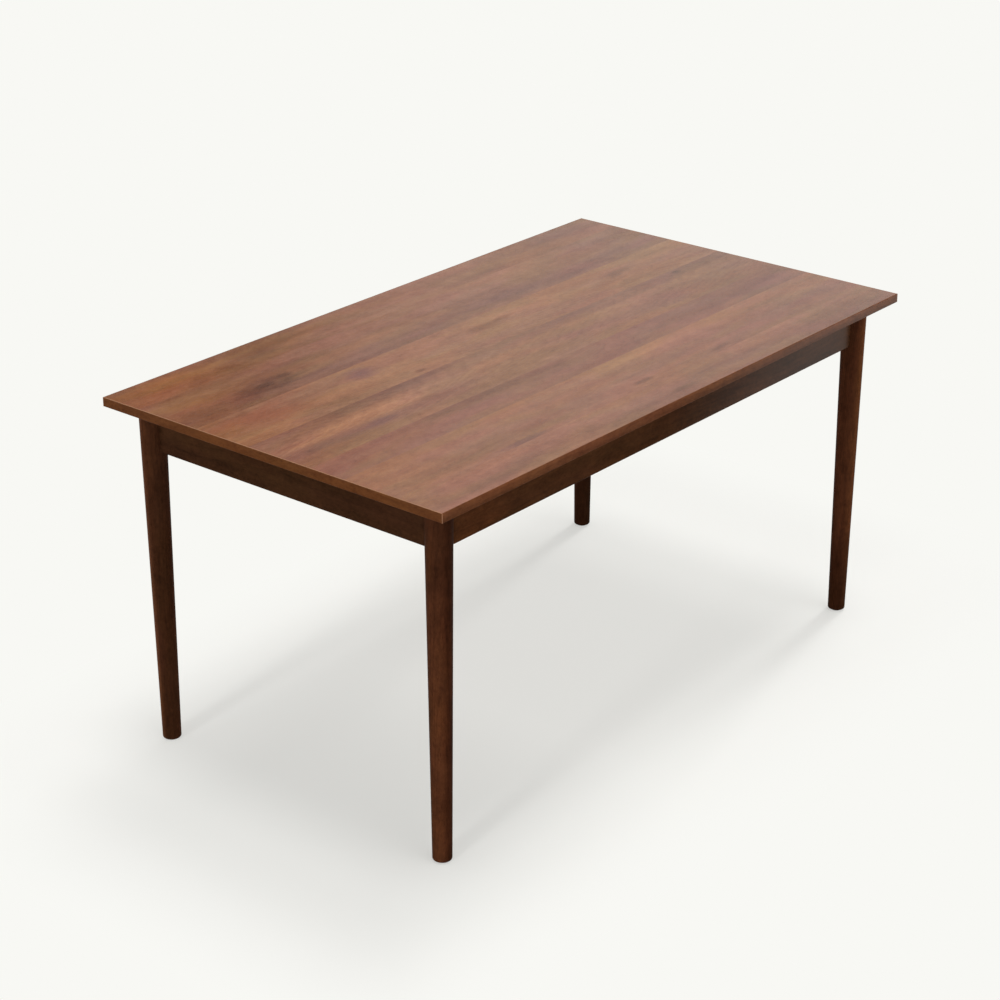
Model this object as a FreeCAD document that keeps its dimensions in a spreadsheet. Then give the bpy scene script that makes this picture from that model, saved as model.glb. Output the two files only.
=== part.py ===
import FreeCAD, Part
import os
import Sketcher

# A rectangular dining table: a veneered board top on an apron frame, with four round tapered legs
# that unbolt at steel corner brackets. Origin on the floor under the middle of the top, X along
# the length, Y across the width, Z up. Front is the long side at -Y, left is the end at -X.

SIZES = {
    # Whole table
    "table_length": 1500.0,
    "table_width": 860.0,
    "table_height": 750.0,
    # Top: core board between two veneers, with an edge band on all four sides
    "top_thickness": 19.0,
    "veneer_thickness": 0.6,
    "band_thickness": 1.5,
    "band_arris": 0.7,
    # Legs: turned cones, flatted and housed at the top for the frame
    "leg_inset": 65.0,
    "leg_top_diameter": 53.0,
    "leg_foot_diameter": 38.0,
    "foot_round": 4.0,
    "housing_reach": 18.0,
    "bolt_flat_reach": 22.0,
    # Aprons and the cross rail between the two long ones
    "apron_setback": 58.0,
    "apron_thickness": 18.0,
    "apron_height": 91.0,
    "apron_arris": 1.2,
    "rail_thickness": 18.0,
    "rail_height": 60.0,
    "dowel_diameter": 8.0,
    "dowel_length": 30.0,
    "dowel_spacing": 30.0,
    "dowel_apron_depth": 11.0,
    "dowel_end_gap": 0.5,
    "dowel_chamfer": 1.0,
    # Corner brackets, pressed from steel strip, with lips that hook into kerfs in the aprons
    "bracket_steel": 2.0,
    "bracket_height": 60.0,
    "bracket_span": 52.0,
    "bracket_flange": 30.0,
    "bracket_lip": 5.0,
    "bracket_bend": 3.0,
    "kerf_clearance": 0.3,
    # Hanger bolts, their washers and nuts
    "bolt_diameter": 8.0,
    "bolt_embed": 38.0,
    "bolt_spacing": 32.0,
    "bolt_point": 8.0,
    "bolt_tail": 4.0,
    "bolt_clearance": 0.1,
    "bracket_hole_clearance": 0.5,
    "washer_diameter": 20.0,
    "washer_thickness": 1.6,
    "nut_flats": 13.0,
    "nut_height": 6.5,
    # Pan-head wood screws, one kind for the brackets and the angles
    "screw_diameter": 4.0,
    "screw_length": 14.0,
    "screw_head_diameter": 8.0,
    "screw_head_crown": 1.4,
    "screw_head_height": 2.4,
    "pilot_clearance": 0.05,
    "pilot_end_gap": 1.0,
    "screw_hole_clearance": 0.25,
    # Steel angles that hold the top down
    "angle_steel": 2.0,
    "angle_leg": 25.0,
    "angle_width": 18.0,
    "angle_hole_reach": 15.0,
    "angle_corner": 4.0,
    # Floor glides and their nails
    "glide_diameter": 25.0,
    "glide_thickness": 2.5,
    "glide_edge": 0.6,
    "glide_recess": 1.4,
    "nail_head_diameter": 6.0,
    "nail_head_height": 0.9,
    "nail_head_clearance": 0.3,
    "nail_diameter": 2.4,
    "nail_length": 20.0,
    "nail_point": 4.0,
    # How far a cutting shape runs past the face that it opens
    "overrun": 5.0,
}

# Widths of the face veneer's leaves, from the back edge to the front edge
LEAF_WIDTH_SHARES = (0.116, 0.180, 0.160, 0.178, 0.099, 0.163, 0.104)

# Places of the top's angles along each apron and along the cross rail, in shares of its length
LONG_ANGLE_SHARES = (-0.28, 0.28)
SHORT_ANGLE_SHARES = (-0.2, 0.2)
RAIL_ANGLE_SHARES = (-0.25, 0.25)

# Sizes worked out from the driving ones
LEG_TOP_RADIUS = "(sizes.leg_top_diameter / 2)"
LEG_FOOT_RADIUS = "(sizes.leg_foot_diameter / 2)"
UNDERSIDE = "(sizes.table_height - sizes.top_thickness)"
APRON_BASE = f"({UNDERSIDE} - sizes.apron_height)"
APRON_MIDDLE = f"({UNDERSIDE} - sizes.apron_height / 2)"
RAIL_BASE = f"({UNDERSIDE} - sizes.rail_height)"
RAIL_MIDDLE = f"({UNDERSIDE} - sizes.rail_height / 2)"
CORE_LENGTH = "(sizes.table_length - 2 * sizes.band_thickness)"
CORE_WIDTH = "(sizes.table_width - 2 * sizes.band_thickness)"
CORE_BASE = f"({UNDERSIDE} + sizes.veneer_thickness)"
CORE_THICKNESS = "(sizes.top_thickness - 2 * sizes.veneer_thickness)"
AXIS_X = "(sizes.table_length / 2 - sizes.leg_inset)"
AXIS_Y = "(sizes.table_width / 2 - sizes.leg_inset)"
APRON_OUTER_X = "(sizes.table_length / 2 - sizes.apron_setback)"
APRON_OUTER_Y = "(sizes.table_width / 2 - sizes.apron_setback)"
APRON_INNER_X = f"({APRON_OUTER_X} - sizes.apron_thickness)"
APRON_INNER_Y = f"({APRON_OUTER_Y} - sizes.apron_thickness)"
APRON_LEAD = "(sizes.leg_inset - sizes.apron_setback)"
APRON_TRAIL = f"(sizes.apron_thickness - {APRON_LEAD})"
LONG_HALF = f"({AXIS_X} - sizes.housing_reach)"
SHORT_HALF = f"({AXIS_Y} - sizes.housing_reach)"
RAIL_HALF = APRON_INNER_Y
BEND = f"({APRON_TRAIL} + sizes.bracket_span)"
FLANGE_END = f"({BEND} + sizes.bracket_flange)"
FLANGE_MIDDLE = f"({BEND} + sizes.bracket_flange / 2)"
PLATE_REACH = f"(({BEND} + {APRON_TRAIL}) / sqrt(2))"
BOLT_RADIUS = "(sizes.bolt_diameter / 2)"
SCREW_RADIUS = "(sizes.screw_diameter / 2)"
PILOT_RADIUS = f"({SCREW_RADIUS} + sizes.pilot_clearance)"
SCREW_HOLE_RADIUS = f"({SCREW_RADIUS} + sizes.screw_hole_clearance)"
DOWEL_RADIUS = "(sizes.dowel_diameter / 2)"
ANGLE_DROP = f"({UNDERSIDE} - sizes.angle_hole_reach)"

# Corners of the table: name, signs of X and Y, and the turn that brings the front left one there
CORNERS = (
    ("front_left", -1, -1, 0),
    ("front_right", 1, -1, 90),
    ("back_right", 1, 1, 180),
    ("back_left", -1, 1, 270),
)

doc = FreeCAD.newDocument("DiningTable")
sheet = doc.addObject("Spreadsheet::Sheet", "sizes")
nodes = []


def fill_sheet():
    """Write the driving dimensions, each with its name beside it as the cell's alias."""
    for row, (name, size) in enumerate(SIZES.items(), 1):
        sheet.set(f"A{row}", name)
        sheet.set(f"B{row}", str(size))
        sheet.setAlias(f"B{row}", name)
    doc.recompute()


def value(formula):
    """The number that a formula of named sizes comes to."""
    return float(sheet.evalExpression(formula))


def spot(x, y, z):
    """A point of the table from three formulas."""
    return FreeCAD.Vector(value(x), value(y), value(z))


def turned(axis, degrees):
    """A rotation about an axis."""
    return FreeCAD.Rotation(FreeCAD.Vector(*axis), degrees)


# Sketches and features

def new_body(name):
    """A body with its own origin, labelled with its node's name."""
    body = doc.addObject("PartDesign::Body", name)
    body.Label = name
    return body


def sketch_on(body, name, role, offset=None, turn=0):
    """A sketch on one of the body's origin planes, moved by formulas and turned about its own Y."""
    sketch = body.newObject("Sketcher::SketchObject", name)
    plane = next(item for item in body.Origin.OriginFeatures if item.Role == role)
    sketch.AttachmentSupport = [(plane, "")]
    sketch.MapMode = "FlatFace"
    sketch.AttachmentOffset = FreeCAD.Placement(FreeCAD.Vector(), turned((0, 1, 0), turn))
    for axis, formula in (offset or {}).items():
        sketch.setExpression(f"AttachmentOffset.Base.{axis}", formula)
    return sketch


def bind(sketch, kind, geometry, point, formula):
    """Hold a point of the sketch at a formula's distance from the sketch's origin."""
    constraint = Sketcher.Constraint(kind, -1, 1, geometry, point, value(formula))
    index = sketch.addConstraint(constraint)
    sketch.setExpression(f"Constraints[{index}]", formula)


def outline(sketch, corners):
    """A closed outline of straight lines through corners that are given as pairs of formulas."""
    first = sketch.GeometryCount
    points = [FreeCAD.Vector(value(x), value(y), 0) for x, y in corners]
    count = len(points)
    for index in range(count):
        sketch.addGeometry(Part.LineSegment(points[index], points[(index + 1) % count]), False)
    for index in range(count):
        following = first + (index + 1) % count
        sketch.addConstraint(Sketcher.Constraint("Coincident", first + index, 2, following, 1))
    for index, (x, y) in enumerate(corners):
        bind(sketch, "DistanceX", first + index, 1, x)
        bind(sketch, "DistanceY", first + index, 1, y)


def rectangle(sketch, left, right, low, high):
    """A rectangle between four formulas."""
    outline(sketch, ((left, low), (right, low), (right, high), (left, high)))


def circles(sketch, centres, radius):
    """Circles of one radius at centres that are given as pairs of formulas."""
    for x, y in centres:
        centre = FreeCAD.Vector(value(x), value(y), 0)
        circle = Part.Circle(centre, FreeCAD.Vector(0, 0, 1), value(radius))
        geometry = sketch.addGeometry(circle, False)
        bind(sketch, "DistanceX", geometry, 3, x)
        bind(sketch, "DistanceY", geometry, 3, y)
        index = sketch.addConstraint(Sketcher.Constraint("Radius", geometry, value(radius)))
        sketch.setExpression(f"Constraints[{index}]", radius)


def pad(body, sketch, length, both_ways=False):
    """Raise the sketch into a solid, upwards or half to each side."""
    feature = body.newObject("PartDesign::Pad", f"{sketch.Name}_pad")
    feature.Profile = sketch
    feature.Midplane = both_ways
    feature.setExpression("Length", length)
    doc.recompute()


def revolve(body, sketch):
    """Turn the sketch about its own upright axis."""
    feature = body.newObject("PartDesign::Revolution", f"{sketch.Name}_turned")
    feature.Profile = sketch
    feature.ReferenceAxis = (sketch, ["V_Axis"])
    doc.recompute()


def pocket(body, sketch, length=None, with_normal=False):
    """Cut the sketch into the body, to a depth or right through, and see that it cuts."""
    before = body.Shape.Volume
    feature = body.newObject("PartDesign::Pocket", f"{sketch.Name}_cut")
    feature.Profile = sketch
    if length is None:
        feature.Type = "ThroughAll"
        feature.Midplane = True
    else:
        feature.Reversed = with_normal
        feature.setExpression("Length", length)
    doc.recompute()
    if not body.Shape.Volume < before:
        raise RuntimeError(f"{sketch.Name} cuts nothing from {body.Label}")


def dress(body, kind, name, size_name, formula, is_wanted):
    """Fillet or chamfer the edges of the body's tip for which is_wanted says yes."""
    base = body.Tip
    wanted = [f"Edge{index}" for index, edge in enumerate(base.Shape.Edges, 1) if is_wanted(edge)]
    feature = body.newObject(kind, name)
    feature.Base = (base, wanted)
    feature.setExpression(size_name, formula)
    doc.recompute()


def fillet(body, name, radius, is_wanted):
    """Round the wanted edges."""
    dress(body, "PartDesign::Fillet", name, "Radius", radius, is_wanted)


def chamfer(body, name, size, is_wanted):
    """Break the wanted edges at 45 degrees."""
    dress(body, "PartDesign::Chamfer", name, "Size", size, is_wanted)


def upright_edges_at(places):
    """A test for upright edges that stand at one of the places, given as pairs of formulas."""
    points = [FreeCAD.Vector(value(x), value(y), 0) for x, y in places]

    def is_wanted(edge):
        start, end = (vertex.Point for vertex in (edge.Vertexes[0], edge.Vertexes[-1]))
        flat_start = FreeCAD.Vector(start.x, start.y, 0)
        flat_end = FreeCAD.Vector(end.x, end.y, 0)
        if not flat_start.isEqual(flat_end, Part.Precision.confusion()):
            return False
        return any(flat_start.isEqual(point, Part.Precision.confusion()) for point in points)

    return is_wanted


def level_edges_at(height, direction=None):
    """A test for edges that lie at one of the heights, and run along a direction if one is given."""
    level = value(height)

    def is_wanted(edge):
        box = edge.BoundBox
        is_level = max(abs(box.ZMin - level), abs(box.ZMax - level)) < Part.Precision.confusion()
        if direction is None or not is_level:
            return is_level
        span = edge.Vertexes[-1].Point - edge.Vertexes[0].Point
        return span.Length > 0 and span.cross(direction).Length < Part.Precision.confusion()

    return is_wanted


def seat(node, base, rotation=FreeCAD.Rotation()):
    """Put a finished piece in its place and note it as a node of the table."""
    node.Placement = FreeCAD.Placement(base, rotation)
    nodes.append(node)


def group(name, form, places):
    """One node that holds a copy of the form at each place."""
    doc.recompute()
    copies = []
    for place in places:
        copy = form.Shape.copy()
        copy.Placement = place
        copies.append(copy)
    node = doc.addObject("Part::Feature", name)
    node.Label = name
    node.Shape = Part.makeCompound(copies)
    nodes.append(node)


# The top

def top_hole_centres(seats):
    """Where the angles' screws go up into the top."""
    return [(angle_seat["screw_x"], angle_seat["screw_y"]) for angle_seat in seats]


def build_core(seats):
    """Core board, with blind pilot holes from below for the angles' screws."""
    body = new_body("top_core")
    plan = sketch_on(body, "core_plan", "XY_Plane", {"z": CORE_BASE})
    rectangle(plan, f"-{CORE_LENGTH} / 2", f"{CORE_LENGTH} / 2", f"-{CORE_WIDTH} / 2", f"{CORE_WIDTH} / 2")
    pad(body, plan, CORE_THICKNESS)
    pilots = sketch_on(body, "core_pilots", "XY_Plane", {"z": UNDERSIDE})
    circles(pilots, top_hole_centres(seats), PILOT_RADIUS)
    pocket(body, pilots, "sizes.screw_length - sizes.angle_steel + sizes.pilot_end_gap", with_normal=True)
    seat(body, FreeCAD.Vector())


def build_backing(seats):
    """Backing veneer under the core, pierced by the same screws."""
    body = new_body("top_backing_veneer")
    plan = sketch_on(body, "backing_plan", "XY_Plane", {"z": UNDERSIDE})
    rectangle(plan, f"-{CORE_LENGTH} / 2", f"{CORE_LENGTH} / 2", f"-{CORE_WIDTH} / 2", f"{CORE_WIDTH} / 2")
    pad(body, plan, "sizes.veneer_thickness")
    pilots = sketch_on(body, "backing_pilots", "XY_Plane", {"z": UNDERSIDE})
    circles(pilots, top_hole_centres(seats), PILOT_RADIUS)
    pocket(body, pilots)
    seat(body, FreeCAD.Vector())


def build_leaves():
    """Face veneer: lengthwise leaves laid edge to edge from the back of the table to the front."""
    laid_share = 0
    for number, share in enumerate(LEAF_WIDTH_SHARES, 1):
        leaf = doc.addObject("Part::Box", f"face_leaf_{number}")
        leaf.Label = f"face_leaf_{number}"
        leaf.setExpression("Length", CORE_LENGTH)
        leaf.setExpression("Width", f"{CORE_WIDTH} * {share}")
        leaf.setExpression("Height", "sizes.veneer_thickness")
        laid_share += share
        back_edge_y = f"{CORE_WIDTH} * (1 / 2 - {laid_share:.3f})"
        seat(leaf, spot(f"-{CORE_LENGTH} / 2", back_edge_y, "sizes.table_height - sizes.veneer_thickness"))


def build_band(name, length, base, turn):
    """Edge band over the full depth of the top, with its two outer arrises taken off."""
    body = new_body(name)
    section = sketch_on(body, f"{name}_plan", "XY_Plane", {"z": UNDERSIDE})
    rectangle(section, f"-{length} / 2", f"{length} / 2", "0", "sizes.band_thickness")
    pad(body, section, "sizes.top_thickness")
    outer_face = Part.Precision.confusion()
    chamfer(
        body, f"{name}_arris", "sizes.band_arris",
        lambda edge: edge.BoundBox.YMax < outer_face and edge.BoundBox.ZLength < outer_face,
    )
    seat(body, base, turned((0, 0, 1), turn))


def build_bands():
    """Short bands between the long ones, which run the full length and close the corners."""
    long_y = "sizes.table_width / 2"
    short_x = "sizes.table_length / 2"
    build_band("edge_band_front", "sizes.table_length", spot("0", f"-{long_y}", "0"), 0)
    build_band("edge_band_back", "sizes.table_length", spot("0", long_y, "0"), 180)
    build_band("edge_band_left", CORE_WIDTH, spot(f"-{short_x}", "0", "0"), 270)
    build_band("edge_band_right", CORE_WIDTH, spot(short_x, "0", "0"), 90)


# The legs

def build_leg(corner, sign_x, sign_y, turn):
    """A turned leg, made for the front left corner about its own axis and then turned to its own.

    Its top is housed on two sides for the apron ends, and flatted on the diagonal between them,
    where the two hanger bolts go in.
    """
    body = new_body(f"leg_{corner}")
    profile = sketch_on(body, f"leg_{corner}_profile", "XZ_Plane")
    outline(profile, (
        ("0", "sizes.glide_thickness"),
        (LEG_FOOT_RADIUS, "sizes.glide_thickness"),
        (LEG_TOP_RADIUS, UNDERSIDE),
        ("0", UNDERSIDE),
    ))
    revolve(body, profile)
    fillet(body, f"leg_{corner}_foot", "sizes.foot_round", level_edges_at("sizes.glide_thickness"))

    housings = sketch_on(body, f"leg_{corner}_housings", "XY_Plane", {"z": APRON_BASE})
    outside = f"{LEG_TOP_RADIUS} + sizes.overrun"
    rectangle(housings, "sizes.housing_reach", outside, f"-{APRON_LEAD}", APRON_TRAIL)
    rectangle(housings, f"-{APRON_LEAD}", APRON_TRAIL, "sizes.housing_reach", outside)
    pocket(body, housings, "sizes.apron_height + sizes.overrun", with_normal=True)

    flat_plane = {"x": "sizes.bolt_flat_reach / sqrt(2)", "z": "-sizes.bolt_flat_reach / sqrt(2)"}
    flat = sketch_on(body, f"leg_{corner}_flat", "XZ_Plane", flat_plane, turn=135)
    rectangle(flat, f"-{LEG_TOP_RADIUS}", LEG_TOP_RADIUS, APRON_BASE, f"{UNDERSIDE} + sizes.overrun")
    pocket(body, flat, LEG_TOP_RADIUS, with_normal=True)

    bores = sketch_on(body, f"leg_{corner}_bores", "XZ_Plane", flat_plane, turn=135)
    circles(bores, bolt_heights(), f"{BOLT_RADIUS} + sizes.bolt_clearance")
    pocket(body, bores, "sizes.bolt_embed + sizes.pilot_end_gap")

    nail_hole = sketch_on(body, f"leg_{corner}_nail_hole", "XY_Plane", {"z": "sizes.glide_thickness"})
    circles(nail_hole, (("0", "0"),), "sizes.nail_diameter / 2 + sizes.pilot_clearance")
    pocket(body, nail_hole, "sizes.nail_length", with_normal=True)
    seat(body, spot(f"{sign_x} * {AXIS_X}", f"{sign_y} * {AXIS_Y}", "0"), turned((0, 0, 1), turn))


def bolt_heights():
    """The two hanger bolts' places on an upright plane that stands across the diagonal."""
    return [("0", f"{APRON_MIDDLE} + {side} * sizes.bolt_spacing / 2") for side in (-1, 1)]


# The frame

def build_apron(name, half, axis_distance, angle_shares, base, turn, dowel_places=()):
    """An apron board with its outer face on Y = 0 and its length along X.

    Its inner face has the saw kerfs that the corner brackets hook into, the pilot holes for the
    screws of the brackets and angles, and on a long apron the sockets for the rail's dowels.
    """
    body = new_body(name)
    plan = sketch_on(body, f"{name}_plan", "XY_Plane", {"z": APRON_BASE})
    rectangle(plan, f"-{half}", half, "0", "sizes.apron_thickness")
    pad(body, plan, "sizes.apron_height")
    along = FreeCAD.Vector(1, 0, 0)
    chamfer(body, f"{name}_arris", "sizes.apron_arris", level_edges_at(APRON_BASE, along))

    kerfs = sketch_on(body, f"{name}_kerfs", "XY_Plane", {"z": APRON_BASE})
    kerf_far = f"({axis_distance} - {FLANGE_END} - sizes.kerf_clearance)"
    kerf_near = f"({axis_distance} - {FLANGE_END} + sizes.bracket_steel + sizes.kerf_clearance)"
    kerf_floor = "sizes.apron_thickness - sizes.bracket_lip - sizes.kerf_clearance"
    kerf_mouth = "sizes.apron_thickness + sizes.overrun"
    rectangle(kerfs, kerf_far, kerf_near, kerf_floor, kerf_mouth)
    rectangle(kerfs, f"-{kerf_near}", f"-{kerf_far}", kerf_floor, kerf_mouth)
    pocket(body, kerfs, "sizes.apron_height + sizes.overrun", with_normal=True)

    inner_face = {"z": "-sizes.apron_thickness"}
    places = [(f"{end} * ({axis_distance} - {FLANGE_MIDDLE})", APRON_MIDDLE) for end in (-1, 1)]
    places += [(f"2 * {half} * {share}", ANGLE_DROP) for share in angle_shares]
    pilots = sketch_on(body, f"{name}_pilots", "XZ_Plane", inner_face)
    circles(pilots, places, PILOT_RADIUS)
    deepest = "sizes.screw_length - min(sizes.bracket_steel; sizes.angle_steel) + sizes.pilot_end_gap"
    pocket(body, pilots, deepest, with_normal=True)
    if dowel_places:
        sockets = sketch_on(body, f"{name}_sockets", "XZ_Plane", inner_face)
        circles(sockets, dowel_places, DOWEL_RADIUS)
        pocket(body, sockets, "sizes.dowel_apron_depth + sizes.dowel_end_gap", with_normal=True)
    seat(body, base, turned((0, 0, 1), turn))


def dowel_heights():
    """The two dowels' places on a plane that stands across the rail."""
    return [("0", f"{RAIL_MIDDLE} + {side} * sizes.dowel_spacing / 2") for side in (-1, 1)]


def build_aprons():
    """Two long and two short aprons, each pair the same board turned round."""
    sides = (
        ("apron_front", LONG_HALF, AXIS_X, LONG_ANGLE_SHARES, ("0", f"-{APRON_OUTER_Y}", "0"), 0),
        ("apron_back", LONG_HALF, AXIS_X, LONG_ANGLE_SHARES, ("0", APRON_OUTER_Y, "0"), 180),
        ("apron_left", SHORT_HALF, AXIS_Y, SHORT_ANGLE_SHARES, (f"-{APRON_OUTER_X}", "0", "0"), 270),
        ("apron_right", SHORT_HALF, AXIS_Y, SHORT_ANGLE_SHARES, (APRON_OUTER_X, "0", "0"), 90),
    )
    for name, half, axis_distance, shares, place, turn in sides:
        dowels = dowel_heights() if half == LONG_HALF else ()
        build_apron(name, half, axis_distance, shares, spot(*place), turn, dowels)


def build_rail():
    """Cross rail under the middle of the top, doweled between the long aprons."""
    body = new_body("cross_rail")
    plan = sketch_on(body, "rail_plan", "XY_Plane", {"z": RAIL_BASE})
    half_thickness = "sizes.rail_thickness / 2"
    rectangle(plan, f"-{half_thickness}", half_thickness, f"-{RAIL_HALF}", RAIL_HALF)
    pad(body, plan, "sizes.rail_height")
    chamfer(body, "rail_arris", "sizes.apron_arris", level_edges_at(RAIL_BASE, FreeCAD.Vector(0, 1, 0)))
    depth = "sizes.dowel_length - sizes.dowel_apron_depth + sizes.dowel_end_gap"
    for side, end in (("front", RAIL_HALF), ("back", f"-{RAIL_HALF}")):
        sockets = sketch_on(body, f"rail_sockets_{side}", "XZ_Plane", {"z": end})
        circles(sockets, dowel_heights(), DOWEL_RADIUS)
        pocket(body, sockets, depth, with_normal=side == "back")
    pilots = sketch_on(body, "rail_pilots", "YZ_Plane", {"z": half_thickness})
    places = [(f"2 * {RAIL_HALF} * {share}", ANGLE_DROP) for share in RAIL_ANGLE_SHARES]
    circles(pilots, places, PILOT_RADIUS)
    pocket(body, pilots, "sizes.screw_length - sizes.angle_steel + sizes.pilot_end_gap")
    seat(body, FreeCAD.Vector())


def build_dowels():
    """Fluted dowels drawn as plain pins with chamfered ends, two at each end of the rail."""
    form = new_body("dowel_form")
    profile = sketch_on(form, "dowel_profile", "XZ_Plane")
    outline(profile, (
        ("0", "0"),
        (f"{DOWEL_RADIUS} - sizes.dowel_chamfer", "0"),
        (DOWEL_RADIUS, "sizes.dowel_chamfer"),
        (DOWEL_RADIUS, "sizes.dowel_length - sizes.dowel_chamfer"),
        (f"{DOWEL_RADIUS} - sizes.dowel_chamfer", "sizes.dowel_length"),
        ("0", "sizes.dowel_length"),
    ))
    revolve(form, profile)
    outer_end = f"({RAIL_HALF} + sizes.dowel_apron_depth)"
    places = []
    for end in (-1, 1):
        for x, height in dowel_heights():
            outer = spot(x, f"{end} * {outer_end}", height)
            places.append(FreeCAD.Placement(outer, turned((1, 0, 0), 90 * end)))
    group("rail_dowels", form, places)


# The corner joints

def build_bracket(corner, sign_x, sign_y, turn):
    """Corner bracket: a plate across the corner, two flanges flat on the aprons, and a lip at each
    flange's end that hooks into the apron's kerf, so that the bolts draw the frame together."""
    body = new_body(f"corner_bracket_{corner}")
    lower_edge = f"{APRON_MIDDLE} - sizes.bracket_height / 2"
    plan = sketch_on(body, f"bracket_{corner}_plan", "XY_Plane", {"z": lower_edge})
    steel = "sizes.bracket_steel"
    inner_bend = f"({BEND} + {steel} * (sqrt(2) - 1))"
    lip_tip = f"({APRON_TRAIL} - sizes.bracket_lip)"
    inner_face = f"({APRON_TRAIL} + {steel})"
    lip_back = f"({FLANGE_END} - {steel})"
    half = (
        (BEND, APRON_TRAIL),
        (lip_back, APRON_TRAIL),
        (lip_back, lip_tip),
        (FLANGE_END, lip_tip),
        (FLANGE_END, inner_face),
        (inner_bend, inner_face),
    )
    outline(plan, half + tuple((y, x) for x, y in reversed(half)))
    pad(body, plan, "sizes.bracket_height")
    outer_bends = upright_edges_at(((BEND, APRON_TRAIL), (APRON_TRAIL, BEND)))
    inner_bends = upright_edges_at(((inner_bend, inner_face), (inner_face, inner_bend)))
    lip_bends = upright_edges_at(((FLANGE_END, inner_face), (inner_face, FLANGE_END)))
    fillet(body, f"bracket_{corner}_outer_bends", "sizes.bracket_bend + sizes.bracket_steel", outer_bends)
    fillet(body, f"bracket_{corner}_inner_bends", "sizes.bracket_bend", inner_bends)
    fillet(body, f"bracket_{corner}_lip_bends", steel, lip_bends)

    plate = {"x": f"{PLATE_REACH} / sqrt(2)", "z": f"-{PLATE_REACH} / sqrt(2)"}
    bolt_holes = sketch_on(body, f"bracket_{corner}_bolt_holes", "XZ_Plane", plate, turn=135)
    circles(bolt_holes, bolt_heights(), f"{BOLT_RADIUS} + sizes.bracket_hole_clearance")
    pocket(body, bolt_holes, f"{steel} + sizes.overrun", with_normal=True)
    for face, role in (("long", "XZ_Plane"), ("short", "YZ_Plane")):
        screw_hole = sketch_on(body, f"bracket_{corner}_{face}_hole", role)
        circles(screw_hole, ((FLANGE_MIDDLE, APRON_MIDDLE),), SCREW_HOLE_RADIUS)
        pocket(body, screw_hole)
    seat(body, spot(f"{sign_x} * {AXIS_X}", f"{sign_y} * {AXIS_Y}", "0"), turned((0, 0, 1), turn))


def corner_frame(sign_x, sign_y, turn):
    """The frame that a corner's pieces are made in, put in its place about the leg's axis."""
    axis = spot(f"{sign_x} * {AXIS_X}", f"{sign_y} * {AXIS_Y}", "0")
    return FreeCAD.Placement(axis, turned((0, 0, 1), turn))


def bolt_places(reach):
    """Places for the bolts' pieces at a reach from each leg's axis, with Z along its diagonal."""
    along_diagonal = turned((0, 0, 1), 45).multiply(turned((0, 1, 0), 90))
    across = f"{reach} / sqrt(2)"
    places = []
    for _, sign_x, sign_y, turn in CORNERS:
        corner = corner_frame(sign_x, sign_y, turn)
        for _, height in bolt_heights():
            place = FreeCAD.Placement(spot(across, across, height), along_diagonal)
            places.append(corner.multiply(place))
    return places


def build_bolts():
    """Hanger bolts, washers and nuts, two of each to a leg, on the diagonal."""
    bolt = new_body("hanger_bolt_form")
    profile = sketch_on(bolt, "hanger_bolt_profile", "XZ_Plane")
    plate_back = f"({PLATE_REACH} + sizes.bracket_steel)"
    embedded_end = "(sizes.bolt_flat_reach - sizes.bolt_embed)"
    nut_seat = f"({plate_back} + sizes.washer_thickness)"
    length = f"({nut_seat} + sizes.nut_height + sizes.bolt_tail - {embedded_end})"
    outline(profile, (
        ("0", "0"),
        (BOLT_RADIUS, "sizes.bolt_point"),
        (BOLT_RADIUS, length),
        ("0", length),
    ))
    revolve(bolt, profile)
    group("hanger_bolts", bolt, bolt_places(embedded_end))

    washer = new_body("washer_form")
    ring = sketch_on(washer, "washer_plan", "XY_Plane")
    circles(ring, (("0", "0"),), "sizes.washer_diameter / 2")
    circles(ring, (("0", "0"),), f"{BOLT_RADIUS} + sizes.bolt_clearance")
    pad(washer, ring, "sizes.washer_thickness")
    group("bolt_washers", washer, bolt_places(plate_back))

    nut = new_body("nut_form")
    plan = sketch_on(nut, "nut_plan", "XY_Plane")
    corner_radius = "(sizes.nut_flats / sqrt(3))"
    outline(plan, [(f"{corner_radius} * cos({angle}deg)", f"{corner_radius} * sin({angle}deg)")
                   for angle in range(0, 360, 60)])
    circles(plan, (("0", "0"),), f"{BOLT_RADIUS} + sizes.bolt_clearance")
    pad(nut, plan, "sizes.nut_height")
    group("bolt_nuts", nut, bolt_places(nut_seat))


def build_screw_form():
    """Pan-head wood screw with a tapered shank, head above Z = 0 and shank below."""
    form = new_body("screw_form")
    profile = sketch_on(form, "screw_profile", "XZ_Plane")
    head_radius = "sizes.screw_head_diameter / 2"
    outline(profile, (
        ("0", "-sizes.screw_length"),
        (SCREW_RADIUS, "0"),
        (head_radius, "0"),
        (f"{head_radius} - sizes.screw_head_crown", "sizes.screw_head_height"),
        ("0", "sizes.screw_head_height"),
    ))
    revolve(form, profile)
    return form


def bracket_screw_places():
    """Two screws to a bracket, one through each flange."""
    on_face = f"({APRON_TRAIL} + sizes.bracket_steel)"
    on_long = FreeCAD.Placement(spot(FLANGE_MIDDLE, on_face, APRON_MIDDLE), turned((1, 0, 0), -90))
    on_short = FreeCAD.Placement(spot(on_face, FLANGE_MIDDLE, APRON_MIDDLE), turned((0, 1, 0), 90))
    places = []
    for _, sign_x, sign_y, turn in CORNERS:
        corner = corner_frame(sign_x, sign_y, turn)
        places += [corner.multiply(on_long), corner.multiply(on_short)]
    return places


# The top's angles

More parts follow.
